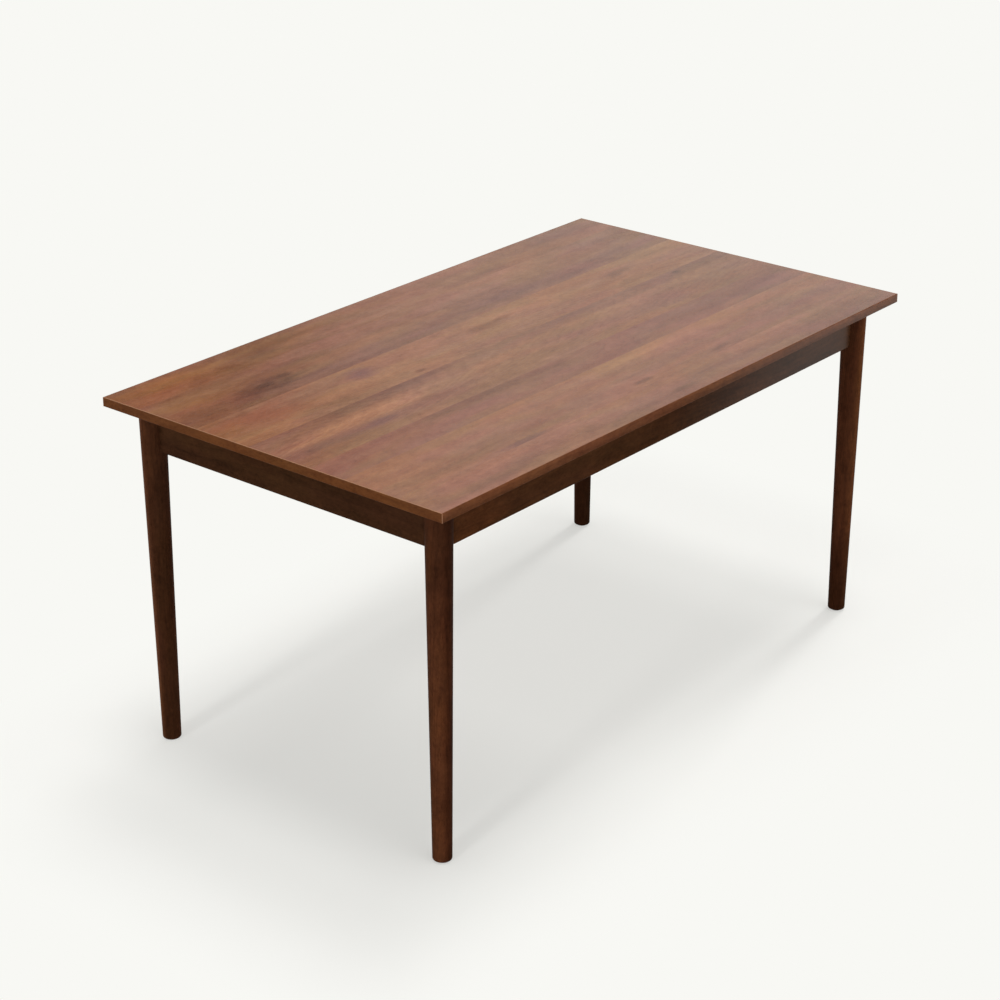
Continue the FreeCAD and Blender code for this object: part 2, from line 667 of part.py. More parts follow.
def angle_seats():
    """Where each angle sits: the corner between wood and top, the way it faces, its upward screw."""
    rows = []
    for sign, turn in ((-1, 0), (1, 180)):
        for share in LONG_ANGLE_SHARES:
            rows.append((f"2 * {LONG_HALF} * {share}", f"{sign} * {APRON_INNER_Y}", turn))
    for sign, turn in ((-1, 270), (1, 90)):
        for share in SHORT_ANGLE_SHARES:
            rows.append((f"{sign} * {APRON_INNER_X}", f"2 * {SHORT_HALF} * {share}", turn))
    for share in RAIL_ANGLE_SHARES:
        rows.append(("sizes.rail_thickness / 2", f"2 * {RAIL_HALF} * {share}", 270))
    facing = {0: (0, 1), 90: (-1, 0), 180: (0, -1), 270: (1, 0)}
    seats = []
    for x, y, turn in rows:
        step_x, step_y = facing[turn]
        seats.append({
            "x": x,
            "y": y,
            "turn": turn,
            "screw_x": f"{x} + {step_x} * sizes.angle_hole_reach",
            "screw_y": f"{y} + {step_y} * sizes.angle_hole_reach",
        })
    return seats


def is_tip_edge(edge):
    """Whether an edge of an angle is a short one that crosses the steel at the tip of a leg."""
    box = edge.BoundBox
    tip = value("sizes.angle_leg") - Part.Precision.confusion()
    return box.XLength < Part.Precision.confusion() and (box.YMin > tip or box.ZMax < -tip)


def build_angles(seats, screw):
    """Steel angles under the top, each with a screw up into it and one into the wood beside it."""
    form = new_body("angle_form")
    section = sketch_on(form, "angle_section", "YZ_Plane")
    outline(section, (
        ("0", "0"),
        ("sizes.angle_leg", "0"),
        ("sizes.angle_leg", "-sizes.angle_steel"),
        ("sizes.angle_steel", "-sizes.angle_steel"),
        ("sizes.angle_steel", "-sizes.angle_leg"),
        ("0", "-sizes.angle_leg"),
    ))
    pad(form, section, "sizes.angle_width", both_ways=True)
    chamfer(form, "angle_corners", "sizes.angle_corner", is_tip_edge)
    top_hole = sketch_on(form, "angle_top_hole", "XY_Plane")
    circles(top_hole, (("0", "sizes.angle_hole_reach"),), SCREW_HOLE_RADIUS)
    pocket(form, top_hole)
    side_hole = sketch_on(form, "angle_side_hole", "XZ_Plane")
    circles(side_hole, (("0", "-sizes.angle_hole_reach"),), SCREW_HOLE_RADIUS)
    pocket(form, side_hole)
    under = spot("0", "sizes.angle_hole_reach", "-sizes.angle_steel")
    beside = spot("0", "sizes.angle_steel", "-sizes.angle_hole_reach")
    upwards = FreeCAD.Placement(under, turned((1, 0, 0), 180))
    sideways = FreeCAD.Placement(beside, turned((1, 0, 0), -90))
    angle_places = []
    top_places = []
    side_places = []
    for angle_seat in seats:
        corner_point = spot(angle_seat["x"], angle_seat["y"], UNDERSIDE)
        corner = FreeCAD.Placement(corner_point, turned((0, 0, 1), angle_seat["turn"]))
        angle_places.append(corner)
        top_places.append(corner.multiply(upwards))
        side_places.append(corner.multiply(sideways))
    group("top_angles", form, angle_places)
    group("top_screws", screw, top_places)
    group("angle_side_screws", screw, side_places)


# The glides

def build_glides():
    """Nylon floor glides under the feet, each held by a nail whose head is sunk in it."""
    sunk_radius = "(sizes.nail_head_diameter / 2 + sizes.nail_head_clearance)"
    nail_radius = "(sizes.nail_diameter / 2)"
    glide_radius = "(sizes.glide_diameter / 2)"
    axes = []
    for corner, sign_x, sign_y, _ in CORNERS:
        body = new_body(f"glide_{corner}")
        profile = sketch_on(body, f"glide_{corner}_profile", "XZ_Plane")
        outline(profile, (
            (sunk_radius, "0"),
            (f"{glide_radius} - sizes.glide_edge", "0"),
            (glide_radius, "sizes.glide_edge"),
            (glide_radius, "sizes.glide_thickness"),
            (f"{nail_radius} + sizes.pilot_clearance", "sizes.glide_thickness"),
            (f"{nail_radius} + sizes.pilot_clearance", "sizes.glide_recess"),
            (sunk_radius, "sizes.glide_recess"),
        ))
        revolve(body, profile)
        axis_foot = spot(f"{sign_x} * {AXIS_X}", f"{sign_y} * {AXIS_Y}", "0")
        seat(body, axis_foot)
        axes.append(FreeCAD.Placement(axis_foot, FreeCAD.Rotation()))

    nail = new_body("nail_form")
    profile = sketch_on(nail, "nail_profile", "XZ_Plane")
    head_radius = "sizes.nail_head_diameter / 2"
    tip = "(sizes.glide_recess + sizes.nail_length)"
    outline(profile, (
        ("0", "sizes.glide_recess - sizes.nail_head_height"),
        (head_radius, "sizes.glide_recess - sizes.nail_head_height"),
        (head_radius, "sizes.glide_recess"),
        (nail_radius, "sizes.glide_recess"),
        (nail_radius, f"{tip} - sizes.nail_point"),
        ("0", tip),
    ))
    revolve(nail, profile)
    group("glide_nails", nail, axes)


def build_table():
    """Every piece, from the top down."""
    fill_sheet()
    seats = angle_seats()
    build_core(seats)
    build_backing(seats)
    build_leaves()
    build_bands()
    build_aprons()
    build_rail()
    build_dowels()
    for corner in CORNERS:
        build_leg(*corner)
        build_bracket(*corner)
    build_bolts()
    screw = build_screw_form()
    group("bracket_screws", screw, bracket_screw_places())
    build_angles(seats, screw)
    build_glides()
    doc.recompute()


def check_table():
    """Stop if any object of the document failed, or a piece isn't a sound solid."""
    for item in doc.Objects:
        if any(word in state for state in item.State for word in ("Invalid", "Error")):
            raise RuntimeError(f"{item.Name} is {item.State}")
    for node in nodes:
        if node.Shape.isNull() or not node.Shape.isValid() or not node.Shape.Solids:
            raise RuntimeError(f"{node.Label} has no sound solid")


def write_pieces():
    """One STEP file to a node, and a line on each."""
    os.makedirs("parts", exist_ok=True)
    for node in nodes:
        node.Shape.exportStep(f"parts/{node.Label}.step")
        print(f"{node.Label}: {len(node.Shape.Solids)} solids, {node.Shape.Volume:.0f} mm3")


build_table()
check_table()
write_pieces()
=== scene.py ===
import logging
import math
from collections.abc import Iterable, Sequence
from dataclasses import dataclass
from enum import Enum

import bmesh
import bpy
from mathutils import Matrix, Vector


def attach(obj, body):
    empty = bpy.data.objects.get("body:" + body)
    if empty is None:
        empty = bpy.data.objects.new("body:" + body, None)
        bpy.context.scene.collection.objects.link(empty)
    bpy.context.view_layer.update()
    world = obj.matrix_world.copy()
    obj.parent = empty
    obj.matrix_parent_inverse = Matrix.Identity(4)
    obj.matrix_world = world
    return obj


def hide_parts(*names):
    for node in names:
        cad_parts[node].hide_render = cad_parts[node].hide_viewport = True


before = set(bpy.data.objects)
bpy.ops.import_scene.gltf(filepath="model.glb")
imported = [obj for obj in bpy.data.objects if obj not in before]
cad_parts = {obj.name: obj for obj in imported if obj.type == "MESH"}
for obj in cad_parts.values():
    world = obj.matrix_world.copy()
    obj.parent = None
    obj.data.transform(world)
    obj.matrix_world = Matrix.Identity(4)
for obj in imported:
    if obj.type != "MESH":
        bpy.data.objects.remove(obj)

log = logging.getLogger("dining_table")

# A veneered dining table on an apron frame with four turned legs, dressed and lit for its picture.
# Everything is in metres in the table's own frame: origin on the floor under the middle of the top,
# X along the length, Y across the width towards the back, Z up. Colours are linear.

Triple = tuple[float, float, float]
Colour = Triple
Span = tuple[float, float]
Ring = list[Vector]
Row = list[bmesh.types.BMVert]

MILLIMETRE = 0.001
WELD = MILLIMETRE / 1000
NO_SHIFT: Triple = (0.0, 0.0, 0.0)
BLACK: Colour = (0.0, 0.0, 0.0)
WHITE: Colour = (1.0, 1.0, 1.0)


class Corner(Enum):
    """The four corners of the table, each with the signs of its X and Y."""

    FRONT_LEFT = (-1, -1)
    FRONT_RIGHT = (1, -1)
    BACK_RIGHT = (1, 1)
    BACK_LEFT = (-1, 1)

    @property
    def label(self) -> str:
        """The corner's part of a node's name."""
        return self.name.lower()


class Grain(Enum):
    """The way that a piece's grain runs, as the order of its along, across and depth axes."""

    LENGTHWISE = (0, 1, 2)
    CROSSWISE = (1, 0, 2)
    UPRIGHT = (2, 0, 1)


class Side(Enum):
    """The four sides of the table, each with the grain of its boards and its place in their pair."""

    FRONT = (Grain.LENGTHWISE, 0)
    BACK = (Grain.LENGTHWISE, 1)
    LEFT = (Grain.CROSSWISE, 0)
    RIGHT = (Grain.CROSSWISE, 1)

    @property
    def label(self) -> str:
        """The side's part of a node's name."""
        return self.name.lower()


# Shader graphs

class Channel:
    """One output of a shader node. Arithmetic on it adds Math nodes to its graph."""

    def __init__(self, graph: "ShaderGraph", socket: bpy.types.NodeSocket) -> None:
        """Hold a socket and the graph that it belongs to."""
        self.graph = graph
        self.socket = socket

    def math(self, operation: str, *terms: "Channel | float") -> "Channel":
        """Add one Math node, with its inputs in order."""
        return self.graph.add("ShaderNodeMath", {"operation": operation}, dict(enumerate(terms)))

    def __add__(self, other: "Channel | float") -> "Channel":
        """Sum."""
        return self.math("ADD", self, other)

    def __radd__(self, other: float) -> "Channel":
        """Sum with a number on the left."""
        return self.math("ADD", other, self)

    def __sub__(self, other: "Channel | float") -> "Channel":
        """Difference."""
        return self.math("SUBTRACT", self, other)

    def __rsub__(self, other: float) -> "Channel":
        """Difference from a number on the left."""
        return self.math("SUBTRACT", other, self)

    def __mul__(self, other: "Channel | float") -> "Channel":
        """Product."""
        return self.math("MULTIPLY", self, other)

    def __rmul__(self, other: float) -> "Channel":
        """Product with a number on the left."""
        return self.math("MULTIPLY", other, self)

    def __truediv__(self, other: "Channel | float") -> "Channel":
        """Quotient."""
        return self.math("DIVIDE", self, other)

    def __rtruediv__(self, other: float) -> "Channel":
        """Quotient of a number on the left."""
        return self.math("DIVIDE", other, self)

    def __pow__(self, other: "Channel | float") -> "Channel":
        """Power."""
        return self.math("POWER", self, other)

    def __rpow__(self, other: float) -> "Channel":
        """Power of a number on the left."""
        return self.math("POWER", other, self)

    def __abs__(self) -> "Channel":
        """Size without sign."""
        return self.math("ABSOLUTE", self)

    def rise(self, low: float, high: float) -> "Channel":
        """A smooth step from 0 at low to 1 at high, which lies above or below low."""
        sockets = {"Value": self, "From Min": low, "From Max": high}
        return self.graph.add("ShaderNodeMapRange", {"interpolation_type": "SMOOTHSTEP"}, sockets)


class ShaderGraph:
    """The node tree of one material or of the world."""

    def __init__(self, owner: bpy.types.Material | bpy.types.World) -> None:
        """Start a tree with nothing but its output node.

        Args:
            owner: What the tree belongs to.
        """
        owner.use_nodes = True
        self.tree = owner.node_tree
        self.tree.nodes.clear()
        kind = "World" if isinstance(owner, bpy.types.World) else "Material"
        self.end = self.tree.nodes.new(f"ShaderNodeOutput{kind}")

    def add(self, kind: str, settings: dict | None = None, sockets: dict | None = None,
            output: str | int = 0) -> Channel:
        """Add one node.

        Args:
            kind: The node's type.
            settings: Its properties, which are set before its sockets.
            sockets: A number, a colour or a Channel for each input, by identifier or by index.
            output: The wanted output, by identifier or by index.

        Returns:
            That output.
        """
        node = self.tree.nodes.new(kind)
        for name, setting in (settings or {}).items():
            setattr(node, name, setting)
        for key, content in (sockets or {}).items():
            self.feed(self.find(node.inputs, key), content)
        return Channel(self, self.find(node.outputs, output))

    @staticmethod
    def find(sockets: Sequence[bpy.types.NodeSocket], key: str | int) -> bpy.types.NodeSocket:
        """The socket with that identifier, or at that index."""
        indices = {socket.identifier: index for index, socket in enumerate(sockets)}
        return sockets[indices.get(key, key)]

    def feed(self, socket: bpy.types.NodeSocket, content: Channel | float | Sequence[float]) -> None:
        """Fill one input.

        Args:
            socket: The input.
            content: What it is linked or set to.
        """
        if isinstance(content, Channel):
            self.tree.links.new(content.socket, socket)
        else:
            socket.default_value = (*content, 1.0) if socket.type == "RGBA" else content

    def finish(self, shader: Channel) -> None:
        """Link a shader to the tree's output."""
        self.tree.links.new(shader.socket, self.end.inputs["Surface"])

    def blend(self, share: Channel | float, low: Channel | Colour, high: Channel | Colour,
              mode: str = "MIX") -> Channel:
        """Mix two colours.

        Args:
            share: 0 for low alone, 1 for the full mix with high.
            low: Colour at 0.
            high: Colour at 1.
            mode: Name of the Mix node's blend mode.

        Returns:
            The mixed colour.
        """
        settings = {"data_type": "RGBA", "blend_type": mode, "clamp_factor": True}
        sockets = {"Factor_Float": share, "A_Color": low, "B_Color": high}
        return self.add("ShaderNodeMix", settings, sockets, "Result_Color")

    def position(self) -> Channel:
        """The surface's place in the table's frame."""
        return self.add("ShaderNodeTexCoord", output="Object")

    def parts(self, vector: Channel) -> tuple[Channel, ...]:
        """The X, Y and Z of a vector."""
        split = self.add("ShaderNodeSeparateXYZ", sockets={0: vector}).socket.node
        return tuple(Channel(self, output) for output in split.outputs)

    def scaled(self, vector: Channel, scale: Triple, shift: Channel | Triple = NO_SHIFT) -> Channel:
        """A vector with each part multiplied and then moved."""
        sockets = {0: vector, 1: scale, 2: shift}
        return self.add("ShaderNodeVectorMath", {"operation": "MULTIPLY_ADD"}, sockets)

    def noise(self, where: Channel, detail: float, roughness: float = 0.5,
              output: str | int = 0) -> Channel:
        """Noise about 0.5, with about one swell to a unit of the vector where."""
        sockets = {"Vector": where, "Scale": 1.0, "Detail": detail, "Roughness": roughness}
        return self.add("ShaderNodeTexNoise", {}, sockets, output)

    def bump(self, height: Channel, depth: float, strength: float) -> Channel:
        """A normal that follows a height, where a height of 1 stands for the depth."""
        sockets = {"Strength": strength, "Distance": depth, "Height": height}
        return self.add("ShaderNodeBump", {}, sockets)


@dataclass(frozen=True)
class Finish:
    """The finish of a surface. Each kind of finish has inputs of its own to the shader."""

    name: str

    def inputs(self, graph: ShaderGraph) -> dict[str, Channel | float]:
        """The shader's inputs by name, with their nodes in that graph."""
        raise NotImplementedError

    def material(self) -> bpy.types.Material:
        """Make the finish as a material.

        Returns:
            The material.
        """
        material = bpy.data.materials.new(self.name)
        graph = ShaderGraph(material)
        graph.finish(graph.add("ShaderNodeBsdfPrincipled", {}, self.inputs(graph)))
        return material


# Wood

@dataclass(frozen=True)
class Swell:
    """Noise that is drawn out along the grain.

    A swell has a reach along the grain and a width across it. Detail is the number of finer
    layers, and roughness is the weight of each.
    """

    reach: float
    width: float
    detail: float = 2.0
    roughness: float = 0.5


FIGURE = Swell(0.34, 0.040, 3.0)
MOTTLE = Swell(0.046, 0.026, 4.0, 0.66)
STREAKS = Swell(0.25, 0.008, 3.0, 0.6)
FLECKS = Swell(0.010, 0.006, 2.0, 0.6)
FIBRES = Swell(0.05, 0.0014)
WARMTH = Swell(0.24, 0.055)
REDNESS = Swell(0.16, 0.042, 3.0)
CAST_TURN: Span = (0.38, 0.62)
RING_STRAY = Swell(0.5, 0.06)
STRAY_SIZE = 0.02
LATE_WOOD: Span = (0.35, 0.98)
PORES = Swell(0.010, 0.0006, 1.0)
PORE_EDGE: Span = (0.60, 0.72)
RIPPLE = Swell(0.012, 0.05, 1.0)
SWAY = Swell(0.30, 0.10, 1.0)
SWAY_SIZE = 0.016
TORN = Swell(0.09, 0.018, 3.0, 0.6)
TORN_SIZE = 1.2
MARK_EDGE: Span = (1.2, 0.3)
SEED_STEP: Triple = (3.7, 5.3, 7.9)


@dataclass(frozen=True)
class Mark:
    """A soft-edged patch that differs from the wood round it: a patch of its figure, or painted light or
    shade.

    Its middle and half sizes are in metres, and its tint multiplies the colour of the wood. Without
    a half height it goes right through the piece.
    """

    x: float
    y: float
    half_length: float
    half_width: float
    tint: Colour
    z: float = 0.0
    half_height: float = math.inf


class Cut:
    """The grain of one piece, read from where its surface lies in the table."""

    def __init__(self, graph: ShaderGraph, grain: Grain, seed: float) -> None:
        """Take up a piece's grain.

        Args:
            graph: Where its nodes are added.
            grain: The way that it runs.
            seed: What sets the piece's wood apart from its neighbours'.
        """
        self.graph = graph
        self.grain = grain
        self.shift = tuple(seed * step for step in SEED_STEP)
        self.position = graph.position()
        self.axes = graph.parts(self.position)
        self.swayed = self.sway()

    def drawn_out(self, swell: Swell) -> Triple:
        """The scale of a swell on each axis."""
        along = self.grain.value[0]
        return tuple(1 / (swell.reach if axis == along else swell.width) for axis in range(3))

    def sway(self) -> Channel:
        """Move places a little across the grain, so that its lines bend as they run on.

        Returns:
            The moved places.
        """
        where = self.graph.scaled(self.position, self.drawn_out(SWAY), self.shift)
        noise = self.graph.noise(where, SWAY.detail, output="Color")
        bend = tuple(SWAY_SIZE if axis == self.grain.value[1] else 0.0 for axis in range(3))
        return self.graph.scaled(noise, bend, self.position)

    def swells(self, swell: Swell) -> Channel:
        """Noise about 0.5."""
        where = self.graph.scaled(self.swayed, self.drawn_out(swell), self.shift)
        return self.graph.noise(where, swell.detail, swell.roughness)

    def strays(self, swell: Swell) -> Channel:
        """Noise about 0."""
        return self.swells(swell) - 0.5

    def rings(self, gap: float, pith: Span, lean: float) -> Channel:
        """Growth rings about a pith that runs past the piece.

        Args:
            gap: Width of a ring.
            pith: Where the pith lies on the across and depth axes.
            lean: How far the pith leaves its place for each metre along the grain.

        Returns:
            Each ring, from 0 in its early wood to 1 in its late wood.
        """
        along, across, depth = (self.axes[axis] for axis in self.grain.value)
        sideways = across - pith[0]
        down = depth - pith[1] + along * lean
        distance = (sideways * sideways + down * down) ** 0.5
        turns = (distance + self.strays(RING_STRAY) * STRAY_SIZE) / gap
        return turns.math("FRACT", turns)

    def mask(self, mark: Mark, torn: Channel) -> Channel:
        """Find where a mark lies.

        Args:
            mark: The mark.
            torn: Noise about 0 that tears its edge.

        Returns:
            0 outside the mark, 1 at its heart.
        """
        scale = (1 / mark.half_length, 1 / mark.half_width, 1 / mark.half_height)
        shift = (-mark.x * scale[0], -mark.y * scale[1], -mark.z * scale[2])
        where = self.graph.scaled(self.position, scale, shift)
        distance = self.graph.add("ShaderNodeVectorMath", {"operation": "LENGTH"}, {0: where}, "Value")
        return (distance + torn * TORN_SIZE).rise(*MARK_EDGE)


@dataclass(frozen=True)
class Timber(Finish):
    """A finished wooden surface, from its broad figure down to its pores.

    The six contrasts, from figure to late_wood, are shares of the way from the dark colour to the
    light one.
    """

    grain: Grain
    light: Colour
    dark: Colour
    seed: float
    figure: float = 1.3
    mottle: float = 1.1
    streaks: float = 0.35
    flecks: float = 0.7
    fibres: float = 0.3
    late_wood: float = 0.15
    ring_gap: float = 0.0035
    pith: Span = (0.0, 0.6)
    lean: float = 0.05
    pore_tint: Colour = (0.55, 0.5, 0.48)
    pore_depth: float = 0.08 * MILLIMETRE
    pore_relief: float = 0.5
    pore_roughness: float = 0.15
    ripple_roughness: float = 0.06
    roughness: float = 0.42
    specular: float = 0.5
    cast: float = 0.4
    tan_cast: Colour = (1.00, 1.02, 0.92)
    mauve_cast: Colour = (1.00, 0.98, 1.13)
    pink_cast: Colour = (1.04, 0.975, 1.00)
    olive_cast: Colour = (0.965, 1.025, 1.00)
    sheen: float = 0.0
    sheen_start: Span = (0.462, 0.512)
    sheen_end: Span = (0.74, 0.62)
    sheen_roughness: float = 0.3
    marks: tuple[Mark, ...] = ()

    def tone(self, cut: Cut) -> Channel:
        """Layer the figure of the wood.

        Args:
            cut: The piece's grain.

        Returns:
            How light the wood is, from 0 for its dark colour to 1 for its light one.
        """
        tone = 0.5
        contrasts = (self.figure, self.mottle, self.streaks, self.flecks, self.fibres)
        for swell, contrast in zip((FIGURE, MOTTLE, STREAKS, FLECKS, FIBRES), contrasts):
            tone = tone + cut.strays(swell) * contrast
        return tone - cut.rings(self.ring_gap, self.pith, self.lean).rise(*LATE_WOOD) * self.late_wood

    def colour(self, cut: Cut, pores: Channel) -> Channel:
        """Colour the wood, with its marks.

        Args:
            cut: The piece's grain.
            pores: Where its darker pores are.

        Returns:
            The colour.
        """
        blend = cut.graph.blend
        colour = blend(self.tone(cut), self.dark, self.light)
        warmth = blend(cut.swells(WARMTH).rise(*CAST_TURN), self.tan_cast, self.mauve_cast)
        redness = blend(cut.swells(REDNESS).rise(*CAST_TURN), self.pink_cast, self.olive_cast)
        for cast in (warmth, redness):
            colour = blend(self.cast, colour, cast, "MULTIPLY")
        torn = cut.strays(TORN)
        for mark in self.marks:
            colour = blend(cut.mask(mark, torn), colour, mark.tint, "MULTIPLY")
        return blend(pores, colour, self.pore_tint, "MULTIPLY")

    def veil(self, graph: ShaderGraph) -> Channel | float:
        """Weigh the sheen, which the wood has only where it is seen at a flat angle.

        Args:
            graph: Where the nodes are added.

        Returns:
            The sheen's weight, a plain 0 for wood without one.
        """
        if not self.sheen:
            return 0.0
        slant = graph.add("ShaderNodeLayerWeight", {}, {"Blend": 0.5}, "Facing")
        return slant.rise(*self.sheen_start) * slant.rise(*self.sheen_end) * self.sheen

    def inputs(self, graph: ShaderGraph) -> dict[str, Channel | float]:
        """Give the wood its figure, its pores and its sheen.

        Args:
            graph: Where the nodes are added.

        Returns:
            The shader's inputs.
        """
        cut = Cut(graph, self.grain, self.seed)
        pores = cut.swells(PORES).rise(*PORE_EDGE)
        ripple = cut.strays(RIPPLE) * self.ripple_roughness
        return {
            "Base Color": self.colour(cut, pores),
            "Roughness": self.roughness + pores * self.pore_roughness + ripple,
            "Specular IOR Level": self.specular,
            "Coat Weight": self.veil(graph),
            "Coat Roughness": self.sheen_roughness,
            "Normal": graph.bump(1.0 - pores, self.pore_depth, self.pore_relief),
        }


@dataclass(frozen=True)
class BandTimber(Timber):
    """Edge-band wood with painted highlights: paler along its top arris and down the table's upright
    corners.
    """

    figure: float = 0.6
    roughness: float = 0.45
    specular: float = 0.02
    sheen: float = 0.45
    # Colour of the painted highlights, where the arris and corner chamfers catch the light.
    highlight_tone: Colour = (0.42, 0.22, 0.13)
    corner_highlight: float = 0.6
    arris_highlight: float = 0.0
    fade: float = 0.0
    half_length: float = 0.75
    half_width: float = 0.43
    top: float = 0.75
    height: float = 0.019
    arris_reach: Span = (0.8 * MILLIMETRE, 0.4 * MILLIMETRE)
    upright_reach: Span = (1.28 * MILLIMETRE, 0.64 * MILLIMETRE)

    def colour(self, cut: Cut, pores: Channel) -> Channel:
        """Colour the wood, with painted highlights along its edges.

        Args:
            cut: The piece's grain.
            pores: Where its darker pores are.

        Returns:
            The colour.
        """
        x, y, z = cut.axes
        # Painted highlights: a paler line along the top arris and down the upright corners.
        arris = z.rise(*(self.top - reach for reach in self.arris_reach)) * self.arris_highlight
        corner = self.half_length + self.half_width
        upright = (abs(x) + abs(y)).rise(*(corner - reach for reach in self.upright_reach)) * self.corner_highlight
        low = z.rise(self.top, self.top - self.height) * self.fade
        colour = cut.graph.blend(low, super().colour(cut, pores), BLACK)
        return cut.graph.blend(arris.math("MAXIMUM", arris, upright), colour, self.highlight_tone)


@dataclass(frozen=True)
class ChipBoard(Finish):
    """Pressed chips, as the core board shows them in its pilot holes."""

    light: Colour = (0.42, 0.29, 0.17)
    dark: Colour = (0.20, 0.12, 0.06)
    chip_scale: Triple = (250.0, 250.0, 500.0)
    chip_depth: float = 0.3 * MILLIMETRE
    chip_relief: float = 0.6
    roughness: float = 0.75
    chip_roughness: float = 0.15

    def inputs(self, graph: ShaderGraph) -> dict[str, Channel | float]:
        """Give each chip its tone and its height.

        Args:
            graph: Where the nodes are added.

        Returns:
            The shader's inputs.
        """
        where = graph.scaled(graph.position(), self.chip_scale)
        chips = graph.add("ShaderNodeTexVoronoi", {}, {"Vector": where, "Scale": 1.0}, "Color")
        tone, height, _ = graph.parts(chips)
        return {
            "Base Color": graph.blend(tone, self.dark, self.light),
            "Roughness": self.roughness + height * self.chip_roughness,
            "Normal": graph.bump(height, self.chip_depth, self.chip_relief),
        }


# Metal and plastic. Their scales are counts to the metre.

@dataclass(frozen=True)
class ZincPlate(Finish):
    """Zinc-plated steel: cloudy crystals, fine rolling lines and a few dull spots."""

    bright: Colour = (0.66, 0.68, 0.70)
    dull: Colour = (0.46, 0.48, 0.50)
    roughness: float = 0.32
    cloud_scale: Triple = (1 / 0.006, 1 / 0.006, 1 / 0.006)
    cloud_shift: Triple = (1.3, 2.1, 0.7)
    cloud_edge: Span = (0.3, 0.7)
    cloud_roughness: float = 0.3
    line_scale: Triple = (60.0, 60.0, 4000.0)
    line_depth: float = 0.01 * MILLIMETRE
    line_relief: float = 0.4
    spot_scale: Triple = (500.0, 500.0, 500.0)
    spot_shift: Triple = (5.0, 3.0, 9.0)
    spot_edge: Span = (0.66, 0.74)
    spot_cover: float = 0.3
    spot_roughness: float = 0.25

    def inputs(self, graph: ShaderGraph) -> dict[str, Channel | float]:
        """Give the plating its clouds, lines and spots.

        Args:
            graph: Where the nodes are added.

        Returns:
            The shader's inputs.
        """
        place = graph.position()
        cloud_place = graph.scaled(place, self.cloud_scale, self.cloud_shift)
        clouds = graph.noise(cloud_place, detail=4.0, roughness=0.6)
        lines = graph.noise(graph.scaled(place, self.line_scale), detail=1.0)
        spot_place = graph.scaled(place, self.spot_scale, self.spot_shift)
        spots = graph.noise(spot_place, detail=2.0).rise(*self.spot_edge)
        cloudy = (clouds - 0.5) * self.cloud_roughness
        return {
            "Base Color": graph.blend(clouds.rise(*self.cloud_edge), self.dull, self.bright),
            "Metallic": 1.0 - spots * self.spot_cover,
            "Roughness": self.roughness + cloudy + spots * self.spot_roughness,
            "Normal": graph.bump(lines, self.line_depth, self.line_relief),
        }


@dataclass(frozen=True)
class Nylon(Finish):
    """Moulded nylon with a fine eggshell surface."""

    shade: Colour = (0.020, 0.014, 0.011)
    scuffed: Colour = (0.045, 0.036, 0.030)
    roughness: float = 0.5
    scuff_scale: Triple = (900.0, 140.0, 900.0)
    scuff_edge: Span = (0.5, 0.75)
    scuff_roughness: float = 0.15
    eggshell_scale: Triple = (2500.0, 2500.0, 2500.0)
    eggshell_depth: float = 0.02 * MILLIMETRE
    eggshell_relief: float = 0.4

    def inputs(self, graph: ShaderGraph) -> dict[str, Channel | float]:
        """Give the nylon its scuffs and its eggshell.

        Args:
            graph: Where the nodes are added.

        Returns:
            The shader's inputs.
        """
        place = graph.position()
        scuffs = graph.noise(graph.scaled(place, self.scuff_scale), detail=3.0).rise(*self.scuff_edge)
        eggshell = graph.noise(graph.scaled(place, self.eggshell_scale), detail=1.0)
        return {
            "Base Color": graph.blend(scuffs, self.shade, self.scuffed),
            "Roughness": self.roughness + scuffs * self.scuff_roughness,
            "Normal": graph.bump(eggshell, self.eggshell_depth, self.eggshell_relief),
        }


# Turned and pressed forms

def show(name: str, data: bpy.types.ID) -> bpy.types.Object:
    """Put a mesh, a lamp or a camera in the scene.

    Args:
        name: The new object's name.
        data: What it shows.

    Returns:
        The object.
    """
    shown = bpy.data.objects.new(name, data)
    bpy.context.scene.collection.objects.link(shown)
    return shown


def polar(radius: float, angle: float, z: float) -> Vector:
    """A point by its radius and angle round the Z axis."""
    return Vector((radius * math.cos(angle), radius * math.sin(angle), z))


def turned(outline: Iterable[Span], sides: int = 32) -> list[Ring]:
    """Rings round the Z axis, one for each radius and height of an outline."""
    step = math.tau / sides
    return [[polar(radius, side * step, z) for side in range(sides)] for radius, z in outline]


